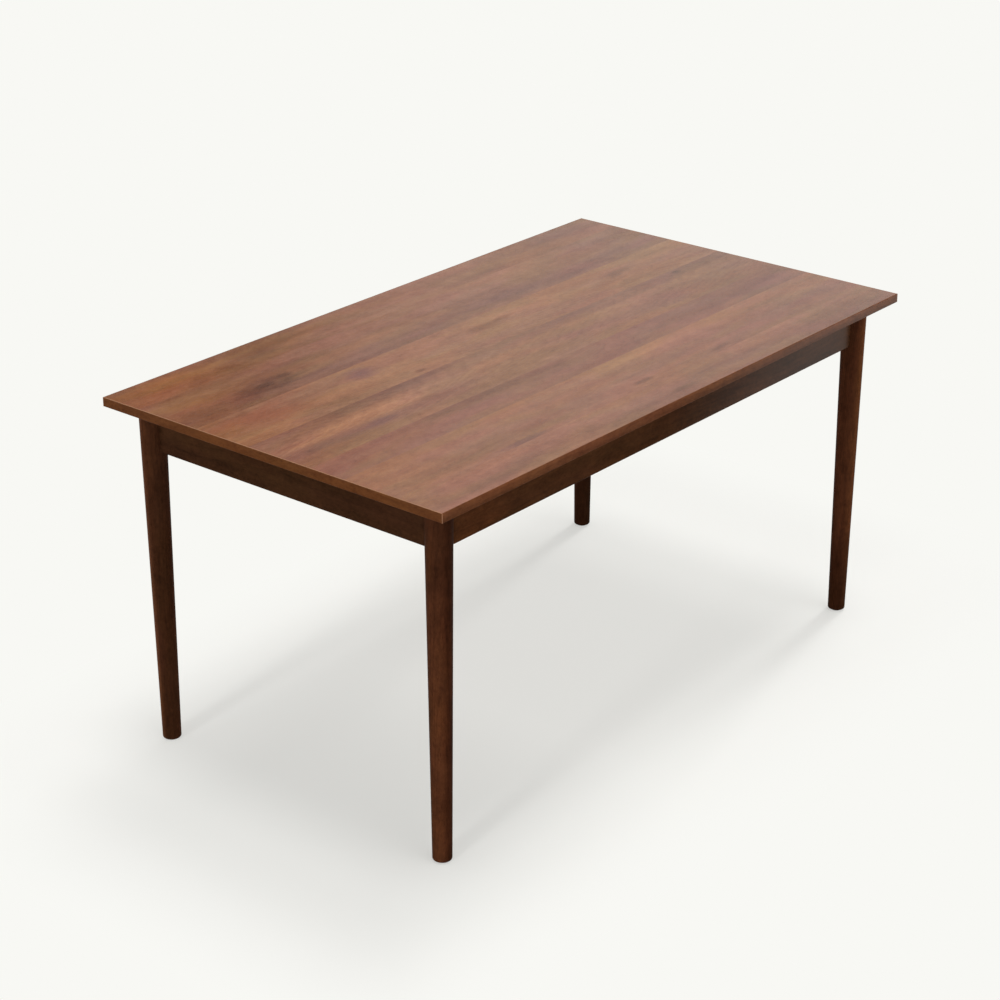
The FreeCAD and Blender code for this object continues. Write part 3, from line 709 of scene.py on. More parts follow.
class Form:
    """A mesh under way, made of skins over rings of points."""

    def __init__(self) -> None:
        """Start with an empty mesh."""
        self.mesh = bmesh.new()

    def rows(self, rings: Iterable[Ring], matrix: Matrix) -> list[Row]:
        """The corners that stand at the points of some rings, moved by a matrix."""
        return [[self.mesh.verts.new(matrix @ point) for point in ring] for ring in rings]

    def walls(self, rows: Sequence[Row]) -> None:
        """Add faces right round between each row of corners and the next.

        Args:
            rows: The rows in order, all with as many corners.
        """
        for low, high in zip(rows, rows[1:]):
            for face in zip(low, low[1:] + low[:1], high[1:] + high[:1], high):
                self.mesh.faces.new(face)

    def skin(self, rings: Sequence[Ring], matrix: Matrix, is_loop: bool = False) -> None:
        """Add a skin over rings that all have as many points.

        Args:
            rings: The rings in order.
            matrix: From the rings' own frame to the table's.
            is_loop: Whether the last ring joins the first; otherwise both ends are closed.
        """
        rows = self.rows(rings, matrix)
        if is_loop:
            rows.append(rows[0])
        else:
            self.mesh.faces.new(rows[0][::-1])
            self.mesh.faces.new(rows[-1])
        self.walls(rows)

    def thread(self, thread: "Thread", matrix: Matrix) -> None:
        """Add a threaded rod, closed at both ends.

        Args:
            thread: The thread and its rod.
            matrix: From the rod's own frame to the table's.
        """
        rows = self.rows(thread.rows(), matrix)
        for row, (low, high) in enumerate(zip(rows, rows[1:])):
            for face in zip(low, low[1:], high[1:], high):
                self.mesh.faces.new(face)
            above = row + thread.steps
            if above + 1 < len(rows):
                self.mesh.faces.new((low[-1], rows[above][0], rows[above + 1][0], high[-1]))
        made = [corner for row in rows for corner in row]
        bmesh.ops.remove_doubles(self.mesh, verts=made, dist=WELD)
        open_edges = [edge for edge in self.mesh.edges if edge.is_boundary]
        bmesh.ops.holes_fill(self.mesh, edges=open_edges, sides=0)

    def place(self, name: str, node: str, slot: str, material: bpy.types.Material,
              smooth_to: float) -> str:
        """Put the mesh in the scene in place of a CAD node.

        Args:
            name: The new piece's name.
            node: The node that it replaces.
            slot: The record's slot for its finish. Not used.
            material: Its material.
            smooth_to: Edges that turn less than this many degrees are shaded smooth.

        Returns:
            The piece's name.
        """
        bmesh.ops.recalc_face_normals(self.mesh, faces=self.mesh.faces)
        mesh = bpy.data.meshes.new(name)
        self.mesh.to_mesh(mesh)
        self.mesh.free()
        mesh.shade_smooth()
        mesh.set_sharp_from_angle(angle=math.radians(smooth_to))
        mesh.materials.append(material)
        piece = show(name, mesh)
        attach(piece, "root")
        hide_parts(node)
        return name


@dataclass(frozen=True)
class Taper:
    """The end of a rod, by its radius and by how far in from it the rod is full."""

    radius: float
    length: float


@dataclass(frozen=True)
class Thread:
    """A screw thread on a rod from Z = 0 up.

    Profile is the share of the pitch at which root, flank and crest begin and end. The rows of
    points start lead turns below the rod, and all that is beyond an end is drawn in to it.
    """

    pitch: float
    root: float
    crest: float
    length: float
    low: Taper
    high: Taper
    profile: tuple[float, float, float, float] = (0.0, 0.25, 0.56, 0.69)
    sides: int = 20
    lead: int = 2

    @property
    def steps(self) -> int:
        """Rows of points to one pitch."""
        return len(self.profile)

    def limit(self, z: float) -> float:
        """Find how thick the rod is at a height.

        Args:
            z: The height.

        Returns:
            The rod's largest radius there.
        """
        ends = ((self.low, z), (self.high, self.length - z))
        shares = [(end.radius, min(far / end.length, 1.0)) for end, far in ends]
        return min(radius + (self.crest - radius) * share for radius, share in shares)

    def rows(self) -> list[Ring]:
        """Lay out rows of points that climb by one pitch in each turn.

        Returns:
            The rows.
        """
        turns = math.ceil(self.length / self.pitch) + self.lead + 1
        rows = []
        for row in range(turns * self.steps):
            turn, step = divmod(row, self.steps)
            radius = self.crest if step >= self.steps / 2 else self.root
            ring = []
            for side in range(self.sides):
                climb = turn - self.lead + self.profile[step] + side / self.sides
                z = min(max(climb * self.pitch, 0.0), self.length)
                ring.append(polar(min(radius, self.limit(z)), math.tau * side / self.sides, z))
            rows.append(ring)
        return rows


@dataclass(frozen=True)
class WoodThread(Thread):
    """A thread with a thin crest, as it is cut for wood."""

    profile: tuple[float, float, float, float] = (0.0, 0.62, 0.80, 0.86)
    sides: int = 16


@dataclass(frozen=True)
class Seat:
    """Where one fastener of a CAD node stands, from its tip along its axis."""

    tip: Vector
    axis: Vector
    length: float

    @property
    def matrix(self) -> Matrix:
        """From the fastener's own frame, with Z along its axis, to the table's."""
        return Matrix.Translation(self.tip) @ self.axis.to_track_quat("Z", "Y").to_matrix().to_4x4()


def solids(node: str) -> list[list[Vector]]:
    """Take a CAD node apart.

    Args:
        node: The node's name.

    Returns:
        The points of each of its solids.
    """
    form = bmesh.new()
    form.from_mesh(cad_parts[node].data)
    bmesh.ops.remove_doubles(form, verts=form.verts, dist=WELD)
    found = []
    seen = set()
    for start in form.verts:
        front = [start]
        points = []
        while front:
            vert = front.pop()
            if vert not in seen:
                seen.add(vert)
                points.append(vert.co.copy())
                front += [edge.other_vert(vert) for edge in vert.link_edges]
        if points:
            found.append(points)
    form.free()
    return found


def seat_along(points: list[Vector], axis: Vector) -> Seat:
    """Find the middle line of a round or six-sided solid.

    Args:
        points: The solid's points.
        axis: The way that the line runs.

    Returns:
        The solid's seat.
    """
    across = axis.orthogonal().normalized()
    upward = axis.cross(across)
    spans = [[point.dot(line) for point in points] for line in (across, upward, axis)]
    (left, right), (low, high), (near, far) = ((min(span), max(span)) for span in spans)
    tip = across * (left + right) / 2 + upward * (low + high) / 2 + axis * near
    return Seat(tip, axis, far - near)


@dataclass(frozen=True)
class Fasteners:
    """Fasteners of one kind, which take the place of the solids of a CAD node."""

    name: str
    node: str
    smooth_to: float = 35.0

    def seat(self, points: list[Vector]) -> Seat:
        """The seat of a solid on a leg's diagonal, which points to the middle of the table."""
        inward = Vector([-math.copysign(1.0, part) for part in points[0].xy] + [0.0])
        return seat_along(points, inward.normalized())

    def add(self, form: Form, seat: Seat) -> None:
        """Add one fastener to the form at its seat."""
        raise NotImplementedError

    def build(self, material: bpy.types.Material) -> str:
        """Make the fasteners.

        Args:
            material: Their material.

        Returns:
            Their piece's name.
        """
        form = Form()
        for points in solids(self.node):
            self.add(form, self.seat(points))
        return form.place(self.name, self.node, "fastener_steel", material, self.smooth_to)


@dataclass(frozen=True)
class HangerBolts(Fasteners):
    """Hanger bolts with a wood thread in the leg and a machine thread for the nut."""

    radius: float = 4.0 * MILLIMETRE
    root: float = 3.2 * MILLIMETRE
    pitch: float = 1.25 * MILLIMETRE
    chamfer: float = 1.0 * MILLIMETRE
    machine_from: float = 44.0 * MILLIMETRE
    shank: float = 3.65 * MILLIMETRE
    lap: float = 0.5 * MILLIMETRE
    wood_root: float = 2.7 * MILLIMETRE
    wood_pitch: float = 2.8 * MILLIMETRE
    wood_length: float = 32.0 * MILLIMETRE
    shoulder: float = 0.1 * MILLIMETRE
    point: Taper = Taper(0.3 * MILLIMETRE, 8.0 * MILLIMETRE)

    def add(self, form: Form, seat: Seat) -> None:
        """Add one bolt: its wood thread, its plain shank and its machine thread.

        Args:
            form: The mesh under way.
            seat: Where the bolt stands.
        """
        run_out = Taper(self.wood_root - self.shoulder, self.wood_pitch)
        wood = WoodThread(self.wood_pitch, self.wood_root, self.radius, self.wood_length,
                          self.point, run_out)
        end = Taper(self.radius - self.chamfer, self.chamfer)
        machine = Thread(self.pitch, self.root, self.radius, seat.length - self.machine_from, end, end)
        low, high = self.wood_length - self.wood_pitch, self.machine_from + self.lap
        form.thread(wood, seat.matrix)
        form.skin(turned([(self.shank, low), (self.shank, high)]), seat.matrix)
        form.thread(machine, seat.matrix @ Matrix.Translation((0.0, 0.0, self.machine_from)))


@dataclass(frozen=True)
class Washers(Fasteners):
    """Stamped washers, with one edge rolled over by the punch."""

    outer: float = 10.0 * MILLIMETRE
    bore: float = 4.2 * MILLIMETRE
    roll: float = 0.35 * MILLIMETRE
    shoulder: float = 0.3

    def add(self, form: Form, seat: Seat) -> None:
        """Add one washer.

        Args:
            form: The mesh under way.
            seat: Where the washer lies.
        """
        outer, bore, thick, roll = self.outer, self.bore, seat.length, self.roll
        shoulder = self.shoulder * roll
        outline = (
            (bore, 0.0), (outer - roll / 2, 0.0), (outer, roll / 2), (outer, thick - roll),
            (outer - shoulder, thick - shoulder), (outer - roll, thick), (bore + roll, thick),
            (bore, thick - roll),
        )
        form.skin(turned(outline), seat.matrix, is_loop=True)


@dataclass(frozen=True)
class HexNuts(Fasteners):
    """Hexagon nuts, chamfered on both faces and countersunk at both ends of the bore."""

    smooth_to: float = 20.0
    flats: float = 13.0 * MILLIMETRE
    bore: float = 3.7 * MILLIMETRE
    countersink: float = 0.7 * MILLIMETRE
    face_share: float = 0.95
    slope: float = 0.577
    sides: int = 48

    @property
    def face(self) -> float:
        """Radius of the flat face inside the chamfer."""
        return self.face_share * self.flats / 2

    def corner_ring(self, height: float, inward: int) -> Ring:
        """Draw the wavy line at which a chamfer meets the flats.

        Args:
            height: Height of the nut's face.
            inward: Which way the nut lies from that face, 1 or -1.

        Returns:
            The ring.
        """
        ring = []
        for side in range(self.sides):
            angle = math.tau * side / self.sides
            from_flat = (angle + math.tau / 12) % (math.tau / 6) - math.tau / 12
            radius = self.flats / 2 / math.cos(from_flat)
            ring.append(polar(radius, angle, height + inward * (radius - self.face) * self.slope))
        return ring

    def add(self, form: Form, seat: Seat) -> None:
        """Add one nut.

        Args:
            form: The mesh under way.
            seat: Where the nut lies.
        """
        sunk, tall, mouth = self.countersink, seat.length, self.bore + self.countersink
        low = turned(((self.bore, sunk), (mouth, 0.0), (self.face, 0.0)), self.sides)
        high = turned(((self.face, tall), (mouth, tall), (self.bore, tall - sunk)), self.sides)
        rings = [*low, self.corner_ring(0.0, 1), self.corner_ring(tall, -1), *high]
        form.skin(rings, seat.matrix, is_loop=True)


@dataclass(frozen=True)
class PanScrews(Fasteners):
    """Pan-head wood screws with a cross recess."""

    head: float = 4.0 * MILLIMETRE
    head_height: float = 2.4 * MILLIMETRE
    straight: float = 0.9 * MILLIMETRE
    head_round: float = 1.5 * MILLIMETRE
    head_sides: int = 24
    rim_edge: float = 0.15 * MILLIMETRE
    rim_height: float = 0.25 * MILLIMETRE
    neck_sunk: float = 0.5 * MILLIMETRE
    shank: float = 1.95 * MILLIMETRE
    root: float = 1.35 * MILLIMETRE
    pitch: float = 1.8 * MILLIMETRE
    shoulder: float = 0.1 * MILLIMETRE
    point: Taper = Taper(0.1 * MILLIMETRE, 4.0 * MILLIMETRE)
    thread_sides: int = 14
    arm: float = 2.1 * MILLIMETRE
    arm_width: float = 0.42 * MILLIMETRE
    recess: float = 1.7 * MILLIMETRE
    recess_taper: Span = (0.42, 0.8)

    def seat(self, points: list[Vector]) -> Seat:
        """Find how a screw stands: its longest side is its axis, and its widest end is its head.

        Args:
            points: The screw's points.

        Returns:
            Its seat.
        """
        sides = [max(column) - min(column) for column in zip(*points)]
        axis = Vector([float(side == max(sides)) for side in sides])
        seat = seat_along(points, axis)
        widest = max(points, key=lambda point: (point - seat.tip).cross(axis).length)
        is_head_low = (widest - seat.tip).dot(axis) < seat.length / 2
        return seat_along(points, -axis) if is_head_low else seat

    def cross(self, arm: float, half_width: float, z: float) -> Ring:
        """Draw the outline of a four-armed cross.

        Args:
            arm: Length of an arm.
            half_width: Half its width.
            z: Height of the outline.

        Returns:
            The outline.
        """
        corners = ((arm, -half_width), (arm, half_width), (half_width, half_width))
        turns = [Matrix.Rotation(math.tau * turn / 4, 3, "Z") for turn in range(4)]
        return [turn @ Vector((x, y, z)) for turn in turns for x, y in corners]

    def dome(self) -> list[Ring]:
        """Turn the head, from its neck to the rim of its crown.

        Returns:
            Its rings.
        """
        neck = (self.shank - self.shoulder, -self.neck_sunk)
        rim = ((self.head - self.rim_edge, 0.0), (self.head, self.rim_height))
        crown, rise = self.head - self.head_round, self.head_height - self.straight
        quarter = [share * math.pi / 2 for share in (0.0, 0.25, 0.5, 0.75, 1.0)]
        rounded = [
            (crown + self.head_round * math.cos(angle), self.straight + rise * math.sin(angle))
            for angle in quarter
        ]
        return turned([neck, *rim, *rounded], self.head_sides)

    def add_head(self, form: Form, matrix: Matrix) -> None:
        """Add a domed head over Z = 0, with the recess sunk in its crown.

        Args:
            form: The mesh under way.
            matrix: From the head's own frame to the table's.
        """
        rows = form.rows(self.dome(), matrix)
        form.mesh.faces.new(rows[0][::-1])
        form.walls(rows)
        arm_share, width_share = self.recess_taper
        top = self.head_height
        floor = self.cross(self.arm * arm_share, self.arm_width * width_share, top - self.recess)
        cuts = form.rows([self.cross(self.arm, self.arm_width, top), floor], matrix)
        form.walls(cuts[::-1])
        form.mesh.faces.new(cuts[1])
        rim = [ends for ring in (rows[-1], cuts[0]) for ends in zip(ring[-1:] + ring[:-1], ring)]
        edges = [form.mesh.edges.get(ends) for ends in rim]
        bmesh.ops.triangle_fill(form.mesh, use_beauty=True, edges=edges)

    def add(self, form: Form, seat: Seat) -> None:
        """Add one screw.

        Args:
            form: The mesh under way.
            seat: Where the screw stands.
        """
        length = seat.length - self.head_height
        run_out = Taper(self.root - self.shoulder, self.pitch)
        thread = WoodThread(self.pitch, self.root, self.shank, length, self.point, run_out,
                            sides=self.thread_sides)
        form.thread(thread, seat.matrix)
        self.add_head(form, seat.matrix @ Matrix.Translation((0.0, 0.0, length)))


@dataclass(frozen=True)
class GlideNails(Fasteners):
    """Flat-headed nails with ringed necks and blunted points, one in each glide."""

    head: float = 3.0 * MILLIMETRE
    head_height: float = 0.9 * MILLIMETRE
    edge: float = 0.25 * MILLIMETRE
    shank: float = 1.2 * MILLIMETRE
    point: float = 4.0 * MILLIMETRE
    blunt: float = 0.15 * MILLIMETRE
    ring_depth: float = 0.1 * MILLIMETRE
    ring_pitch: float = 0.8 * MILLIMETRE
    ring_count: int = 6

    def seat(self, points: list[Vector]) -> Seat:
        """The seat of a nail, head down."""
        return seat_along(points, Vector((0.0, 0.0, 1.0)))

    def add(self, form: Form, seat: Seat) -> None:
        """Add one nail.

        Args:
            form: The mesh under way.
            seat: Where the nail stands.
        """
        outline = [(self.head - self.edge, 0.0), (self.head, self.edge), (self.head, self.head_height),
                   (self.shank, self.head_height)]
        for ring in range(1, self.ring_count + 1):
            z = self.head_height + ring * self.ring_pitch
            outline += [(self.shank - self.ring_depth, z), (self.shank, z + self.ring_pitch / 2)]
        outline += [(self.shank, seat.length - self.point), (self.blunt, seat.length)]
        form.skin(turned(outline), seat.matrix)


# The table's pieces

def coat(nodes: Iterable[str], finish: Finish) -> list[str]:
    """Give CAD nodes one material.

    Args:
        nodes: The nodes' names.
        finish: What every slot of theirs gets.

    Returns:
        The names, for the log.
    """
    names = list(nodes)
    material = finish.material()
    for name in names:
        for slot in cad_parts[name].material_slots:
            slot.material = material
    return names


@dataclass(frozen=True)
class Leaf:
    """What tells one leaf of the face veneer from the next."""

    light: Colour
    dark: Colour
    marks: tuple[Mark, ...]


@dataclass(frozen=True)
class TableTop:
    """The board: seven leaves of walnut over a core, a backing veneer and four edge bands."""

    leaves: tuple[Leaf, ...]
    long_light: Colour = (0.225, 0.080, 0.032)
    long_dark: Colour = (0.106, 0.033, 0.0125)
    long_fade: float = 0.35
    # The short bands are darker copies of the long bands' wood: painted shade for the table's ends,
    # which get less light.
    shaded_short_light: Colour = (0.160, 0.057, 0.0185)
    shaded_short_dark: Colour = (0.076, 0.023, 0.007)
    # Share of painted highlight along the short bands' top arris.
    short_arris_highlight: float = 0.8
    band_seed: int = 11
    backing_light: Colour = (0.22, 0.12, 0.065)
    backing_dark: Colour = (0.12, 0.06, 0.032)
    backing_seed: int = 21

    def band(self, side: Side) -> BandTimber:
        """Choose the wood of an edge band.

        Args:
            side: The band's side.

        Returns:
            Its finish.
        """
        grain, turn = side.value
        name, seed = f"band_walnut_{side.label}", self.band_seed + turn
        if grain is Grain.LENGTHWISE:
            return BandTimber(name, grain, self.long_light, self.long_dark, seed, fade=self.long_fade)
        return BandTimber(name, grain, self.shaded_short_light, self.shaded_short_dark, seed,
                          arris_highlight=self.short_arris_highlight)

    def build(self) -> list[str]:
        """Dress the board's nodes.

        Returns:
            Their names.
        """
        dressed = []
        for number, leaf in enumerate(self.leaves, 1):
            veneer = Timber(f"walnut_leaf_{number}", Grain.LENGTHWISE, leaf.light, leaf.dark, number,
                            lean=0.08, roughness=0.20, specular=0.48, cast=0.85,
                            marks=(*leaf.marks, RIGHT_END_PAINTED_SHADE))
            dressed += coat([f"face_leaf_{number}"], veneer)
        for side in Side:
            dressed += coat([f"edge_band_{side.label}"], self.band(side))
        backing = Timber("backing_walnut", Grain.LENGTHWISE, self.backing_light, self.backing_dark,
                         self.backing_seed, roughness=0.6)
        dressed += coat(["top_backing_veneer"], backing)
        return dressed + coat(["top_core"], ChipBoard("pressed_chips"))


@dataclass(frozen=True)
class ApronFrame:
    """Four stained aprons, the cross rail and its dowels."""

    marks: tuple[Mark, ...]
    light: Colour = (0.083, 0.0315, 0.0122)
    dark: Colour = (0.0327, 0.0123, 0.0048)
    end_light: Colour = (0.06225, 0.024885, 0.010858)
    end_dark: Colour = (0.024525, 0.009717, 0.004272)
    apron_seed: int = 31
    rail_seed: int = 41
    beech_light: Colour = (0.55, 0.36, 0.21)
    beech_dark: Colour = (0.40, 0.24, 0.13)
    beech_seed: int = 43

    def build(self) -> list[str]:
        """Dress the frame's nodes.

        Returns:
            Their names.
        """
        dressed = []
        for side in Side:
            grain, turn = side.value
            is_end = grain is Grain.CROSSWISE
            light, dark = (self.end_light, self.end_dark) if is_end else (self.light, self.dark)
            board = Timber(f"stained_{side.label}", grain, light, dark, self.apron_seed + turn,
                           roughness=0.4, specular=0.005, sheen=0.45, marks=self.marks)
            dressed += coat([f"apron_{side.label}"], board)
        rail = Timber("stained_rail", Grain.CROSSWISE, self.light, self.dark, self.rail_seed,
                      roughness=0.5, specular=0.06)
        dressed += coat(["cross_rail"], rail)
        beech = Timber("beech", Grain.CROSSWISE, self.beech_light, self.beech_dark, self.beech_seed)
        return dressed + coat(["rail_dowels"], beech)


@dataclass(frozen=True)
class Stain:
    """Painted light or shade on a turned leg: a paler or darker side, by the compass direction that it
    faces.
    """

    azimuth: float
    half_size: float
    tint: Colour
    z: float = 0.0
    half_height: float = math.inf

    def mark(self, corner: Corner, reach: float) -> Mark:
        """Lay the painted light or shade on one leg.

        Args:
            corner: The leg's corner.
            reach: Distance of its heart from the leg's middle.

        Returns:
            The painted light or shade as a mark.
        """
        middle = [sign * part for sign, part in zip(corner.value, LEG_MIDDLE)]
        heart = polar(reach, math.radians(self.azimuth), 0.0)
        x, y = middle[0] + heart.x, middle[1] + heart.y
        return Mark(x, y, self.half_size, self.half_size, self.tint, self.z, self.half_height)


@dataclass(frozen=True)
class Legs:
    """Four turned and stained legs with their glides, with light and shade painted on the legs."""

    painted_lights: dict[Corner, tuple[Stain, ...]]
    light: Colour = (0.092, 0.0305, 0.0125)
    dark: Colour = (0.036, 0.0118, 0.0052)
    seed: int = 51
    reach: float = 0.022

    def build(self) -> list[str]:
        """Dress the legs' nodes.

        Returns:
            Their names.
        """
        dressed = []
        for seed, corner in enumerate(Corner, self.seed):
            marks = tuple(painted_light.mark(corner, self.reach) for painted_light in self.painted_lights[corner])
            wood = Timber(f"turned_{corner.label}", Grain.UPRIGHT, self.light, self.dark, seed,
                          roughness=0.38, specular=0.005, marks=marks)
            dressed += coat([f"leg_{corner.label}"], wood)
        return dressed + coat((f"glide_{corner.label}" for corner in Corner), Nylon("glide_nylon_dark"))


@dataclass(frozen=True)
class Hardware:
    """Steel that holds the table together."""

    bright: Colour = (0.72, 0.70, 0.62)
    dull: Colour = (0.55, 0.53, 0.46)
    roughness: float = 0.28
    screws: tuple[str, ...] = ("bracket_screws", "top_screws", "angle_side_screws")

    def build(self) -> list[str]:
        """Dress the steel nodes.

        Returns:
            Their names.
        """
        brackets = [f"corner_bracket_{corner.label}" for corner in Corner]
        dressed = coat([*brackets, "top_angles"], ZincPlate("zinc_pressings"))
        steel = ZincPlate("zinc_fasteners", self.bright, self.dull, self.roughness).material()
        pieces = [
            HangerBolts("hanger_bolts_threaded", "hanger_bolts"),
            Washers("washers_stamped", "bolt_washers"),
            HexNuts("nuts_chamfered", "bolt_nuts"),
            GlideNails("glide_nails_ringed", "glide_nails"),
            *(PanScrews(f"{node}_crossed", node) for node in self.screws),
        ]
        return dressed + [piece.build(steel) for piece in pieces]


# The studio

def aimed(heading: float, down: float) -> Matrix:
    """The turn of a camera or lamp that looks along a heading and down, in degrees."""
    tilt = Matrix.Rotation(math.radians(90 - down), 4, "X")
    return Matrix.Rotation(math.radians(heading), 4, "Z") @ tilt


@dataclass(frozen=True)
class View:
    """The camera, placed and aimed as the picture was taken."""

    place: Triple = (-3.5875, -2.8975, 2.4365)
    yaw: float = 50.496
    pitch: float = 23.834
    roll: float = 0.01
    lens: float = 86.675
    sensor: float = 36.0

    def build(self) -> None:
        """Add the camera and make it the scene's."""
        data = bpy.data.cameras.new("picture_camera")
        data.lens = self.lens
        data.sensor_width = self.sensor
        camera = show("picture_camera", data)
        roll = Matrix.Rotation(math.radians(self.roll), 4, "Z")
        camera.matrix_world = Matrix.Translation(self.place) @ aimed(-self.yaw, self.pitch) @ roll
        bpy.context.scene.camera = camera


@dataclass(frozen=True)
class SoftLight:
    """A large soft lamp far away, by the compass direction and height that it shines from."""

    name: str
    azimuth: float
    height: float
    strength: float
    spread: float
    passes: tuple[str, ...] = ()

    def build(self) -> None:
        """Add the lamp."""
        data = bpy.data.lights.new(self.name, "SUN")
        data.energy = self.strength
        data.angle = math.radians(self.spread)
        lamp = show(self.name, data)
        lamp.matrix_world = aimed(self.azimuth + 90, self.height)
        lamp.visible_glossy = False
        if self.passes:
            lamp.light_linking.blocker_collection = self.passed_pieces()

    def passed_pieces(self) -> bpy.types.Collection:
        """Gather the pieces that cast no shadow in this lamp.

        Returns:
            A collection that leaves them out.
        """
        passed = bpy.data.collections.new(f"{self.name}_passes")
        for name in self.passes:
            passed.objects.link(bpy.data.objects[name])
        for entry in passed.collection_objects:
            entry.light_linking.link_state = "EXCLUDE"
        return passed


@dataclass(frozen=True)
class Studio:
    """A pale floor without an end, soft lamps, and walls that show only in reflections.

    The floor fades to the plain pale tone over fade_x and fade_y. The walls are darker over two
    stretches of azimuth, and a little shaded over a third.
    """

    lamps: tuple[SoftLight, ...]
    floor_colour: Colour = (0.903, 0.903, 0.870)
    pale: Colour = (0.939, 0.939, 0.905)
    fill: float = 0.31
    lifted: float = 0.5
    fade_x: Span = (0.95, 1.25)
    fade_y: Span = (0.50, 0.75)
    half_floor: float = 60.0
    walls_seen: float = 0.85
    shade: float = 0.25
    shade_edge: Span = (22.0, 42.0)
    dim: float = 0.85
    dim_edges: tuple[Span, Span] = ((41.0, 46.5), (-33.0, -42.0))

    def build(self) -> None:
        """Add the floor, the lamps and the world."""
        self.build_floor()
        self.build_world()
        for lamp in self.lamps:
            lamp.build()

    def build_floor(self) -> None:
        """Add the floor, a plain sheet of matt colour that can't be seen from below."""
        mesh = bpy.data.meshes.new("studio_floor")
        form = bmesh.new()
        bmesh.ops.create_grid(form, x_segments=1, y_segments=1, size=self.half_floor)
        form.to_mesh(mesh)
        form.free()
        floor = show("studio_floor", mesh)
        material = bpy.data.materials.new("floor_paper")
        graph = ShaderGraph(material)
        paper = graph.add("ShaderNodeBsdfDiffuse", {}, {"Color": self.floor_colour})
        glow = graph.add("ShaderNodeEmission", {}, {"Color": self.pale, "Strength": 1.0})
        x, y, _ = graph.parts(graph.position())
        away = x.math("MAXIMUM", abs(x).rise(*self.fade_x), abs(y).rise(*self.fade_y))
        share = self.seen_rays(graph) * (self.lifted + away * (1 - self.lifted))
        lit = graph.add("ShaderNodeMixShader", {}, {0: share, 1: paper, 2: glow})
        clear = graph.add("ShaderNodeBsdfTransparent")
        backs = graph.add("ShaderNodeNewGeometry", output="Backfacing")
        graph.finish(graph.add("ShaderNodeMixShader", {}, {0: backs, 1: lit, 2: clear}))
        mesh.materials.append(material)

    @staticmethod
    def seen_rays(graph: ShaderGraph) -> Channel:
        """Tell the rays that show the backdrop, to the camera or in a glossy or clear surface.

        Args:
            graph: Where the nodes are added.

        Returns:
            1 for such rays, 0 for the others.
        """
        kinds = ("Is Camera Ray", "Is Glossy Ray", "Is Transmission Ray")
        camera, glossy, through = (graph.add("ShaderNodeLightPath", output=kind) for kind in kinds)
        return camera.math("MAXIMUM", camera, glossy.math("MAXIMUM", glossy, through))

    def build_world(self) -> None:
        """Light the room evenly, and show its pale walls to the camera and in glossy surfaces."""
        world = bpy.data.worlds.new("studio_room")
        bpy.context.scene.world = world
        graph = ShaderGraph(world)
        x, y, _ = graph.parts(graph.add("ShaderNodeTexCoord", output="Generated"))
        azimuth = x.math("ARCTAN2", y, x) * (180 / math.pi)
        bright = 1.0 - azimuth.rise(*self.shade_edge) * self.shade
        for edge in self.dim_edges:
            bright = bright * (1.0 - azimuth.rise(*edge) * self.dim)
        glossy = graph.add("ShaderNodeLightPath", output="Is Glossy Ray")
        strength = 1.0 - glossy * (1.0 - bright * self.walls_seen)
        walls = graph.add("ShaderNodeBackground", {}, {"Color": self.pale, "Strength": strength})
        room = graph.add("ShaderNodeBackground", {}, {"Color": WHITE, "Strength": self.fill})
        graph.finish(graph.add("ShaderNodeMixShader", {}, {0: self.seen_rays(graph), 1: room, 2: walls}))


# Where each piece of wood is lighter or darker, in its own tone and in painted light and shade, and
# where the lamps stand

LEG_MIDDLE: Span = (0.685, 0.365)

# Painted shade over the leaves' right end: darker red and green and a touch bluer, for the lamp light
# that falls off towards that end.
RIGHT_END_PAINTED_SHADE = Mark(0.72, 0.0, 0.3, 2.0, (0.93, 0.97, 1.05))

